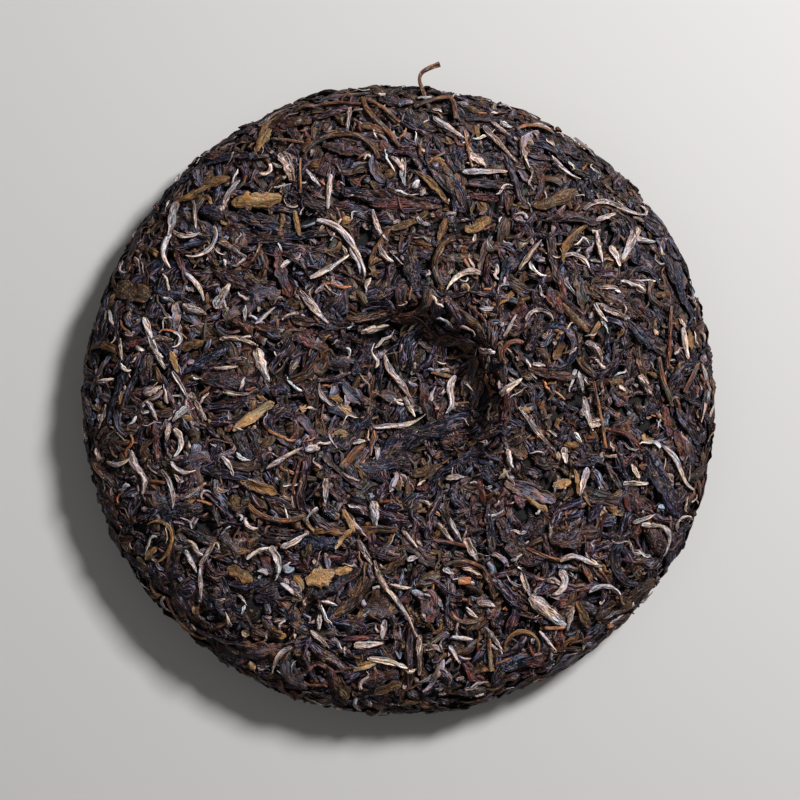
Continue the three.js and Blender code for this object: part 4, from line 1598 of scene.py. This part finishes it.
# Grey leaves with down
# Young leaves whose down has dried to a grey or mauve frost. They are small and narrow, and lie
# loosely between the others.
grey_stops = [
    (0.0, pigment(74, 64, 72)),
    (0.3, pigment(100, 92, 104)),
    (0.55, pigment(138, 122, 126)),
    (0.8, pigment(184, 168, 170)),
    (1.0, pigment(104, 98, 118)),
]
grey_leaf = leaf_finish("grey_leaf", grey_stops, highlight_and_wear=0.6, highlight_wear_and_fleck_colour=(214, 204, 206), roughness=0.6)
grey = grow_leaves(
    spread(count=470, share_from=0.0, share_to=0.58, seed=41),
    seed=41,
    depth=(0.1, 0.9),
    stations=10,
    length=(3, 14),
    width=(1.0, 2.8),
    broad=0.25,
)
under_grey = grow_leaves(
    spread(count=160, share_from=0.6, share_to=1.0, seed=43),
    seed=43,
    depth=(0.2, 0.9),
    stations=8,
    length=(6, 16),
    width=(1.6, 3.6),
)
sweep_leaves("grey_leaves", [grey, under_grey], grey_leaf)

# Crumbs
# Broken bits of every colour fill the gaps between the leaves. Here and there they lie uppermost,
# in patches, and the leaves lie a little deeper.
crumb_stops = [
    (0.0, pigment(20, 16, 19)),
    (0.3, pigment(48, 34, 32)),
    (0.48, pigment(80, 56, 46)),
    (0.6, pigment(120, 72, 50)),
    (0.72, pigment(128, 100, 66)),
    (0.84, pigment(146, 132, 134)),
    (1.0, pigment(204, 182, 162)),
]
crumb = leaf_finish("crumbs", crumb_stops, highlight_and_wear=0.3, crease_and_groove_shade=0.6)
bits = grow_leaves(
    spread(count=2800, share_from=0.0, share_to=0.6, seed=61),
    seed=61,
    depth=(0.2, 1.5),
    stations=4,
    length=(1.0, 4.5),
    width=(0.6, 2.0),
    bend=(20, 40),
    ragged=0.4,
)
sweep_leaves("crumbs", [bits], crumb, round_points=4, rounded=False)

# Table
# A plain pale table top that the cake lies on, under soft studio light: a key light from the upper
# right, a wide weak one from the lower left, and a little from all round. Places are in metres.
FLOOR_SIZE = 6.0
FLOOR_DROP = 0.0002
FLOOR_ROUGHNESS = 0.8
LIT_HEIGHT = 0.01
KEY_PLACE = (0.66, 0.6, 0.78)
KEY_SIZE = 0.25
KEY_POWER = 20.8
FILL_PLACE = (-0.9, -0.5, 0.9)
FILL_SIZE = 1.2
FILL_POWER = 1.5
ROOM_LIGHT = 0.11
half = FLOOR_SIZE / 2
corners = [(x, y, -FLOOR_DROP) for x, y in ((-half, -half), (half, -half), (half, half), (-half, half))]
floor = new_mesh_object("table_top", corners, [(0, 1, 2, 3)])
finish, bench = new_finish("pale_table")
close_finish(bench, pigment(196, 194, 192), FLOOR_ROUGHNESS, (0.0, 0.0, 0.0))
floor.data.materials.append(finish)


def soft_light(name, place, size, power):
    """A square studio light that faces the cake."""
    lamp = bpy.data.lights.new(name, "AREA")
    lamp.size = size
    lamp.energy = power
    holder = bpy.data.objects.new(name, lamp)
    bpy.context.scene.collection.objects.link(holder)
    holder.location = place
    aim = Vector((0, 0, LIT_HEIGHT)) - holder.location
    holder.rotation_euler = aim.to_track_quat("-Z", "Y").to_euler()


soft_light("key_light", KEY_PLACE, KEY_SIZE, KEY_POWER)
soft_light("fill_light", FILL_PLACE, FILL_SIZE, FILL_POWER)
world = bpy.data.worlds.new("studio")
bpy.context.scene.world = world
world.use_nodes = True
background = world.node_tree.nodes["Background"].inputs
background["Color"].default_value = (1, 1, 1, 1)
background["Strength"].default_value = ROOM_LIGHT

# Camera
# It stands straight above the cake, as the picture looks straight at the flat side. The width that
# it sees, in millimetres at the height of the cake's edge, sets its distance.
LENS = 100
SENSOR = 36
SEEN_WIDTH = 252.8
camera = bpy.data.objects.new("camera", bpy.data.cameras.new("camera"))
bpy.context.scene.collection.objects.link(camera)
bpy.context.scene.camera = camera
camera.data.lens = LENS
camera.data.sensor_width = SENSOR
camera.location = (0, 0, (EDGE_HEIGHT + SEEN_WIDTH * LENS / SENSOR) * MM)
bpy.context.scene.view_settings.view_transform = "Standard"
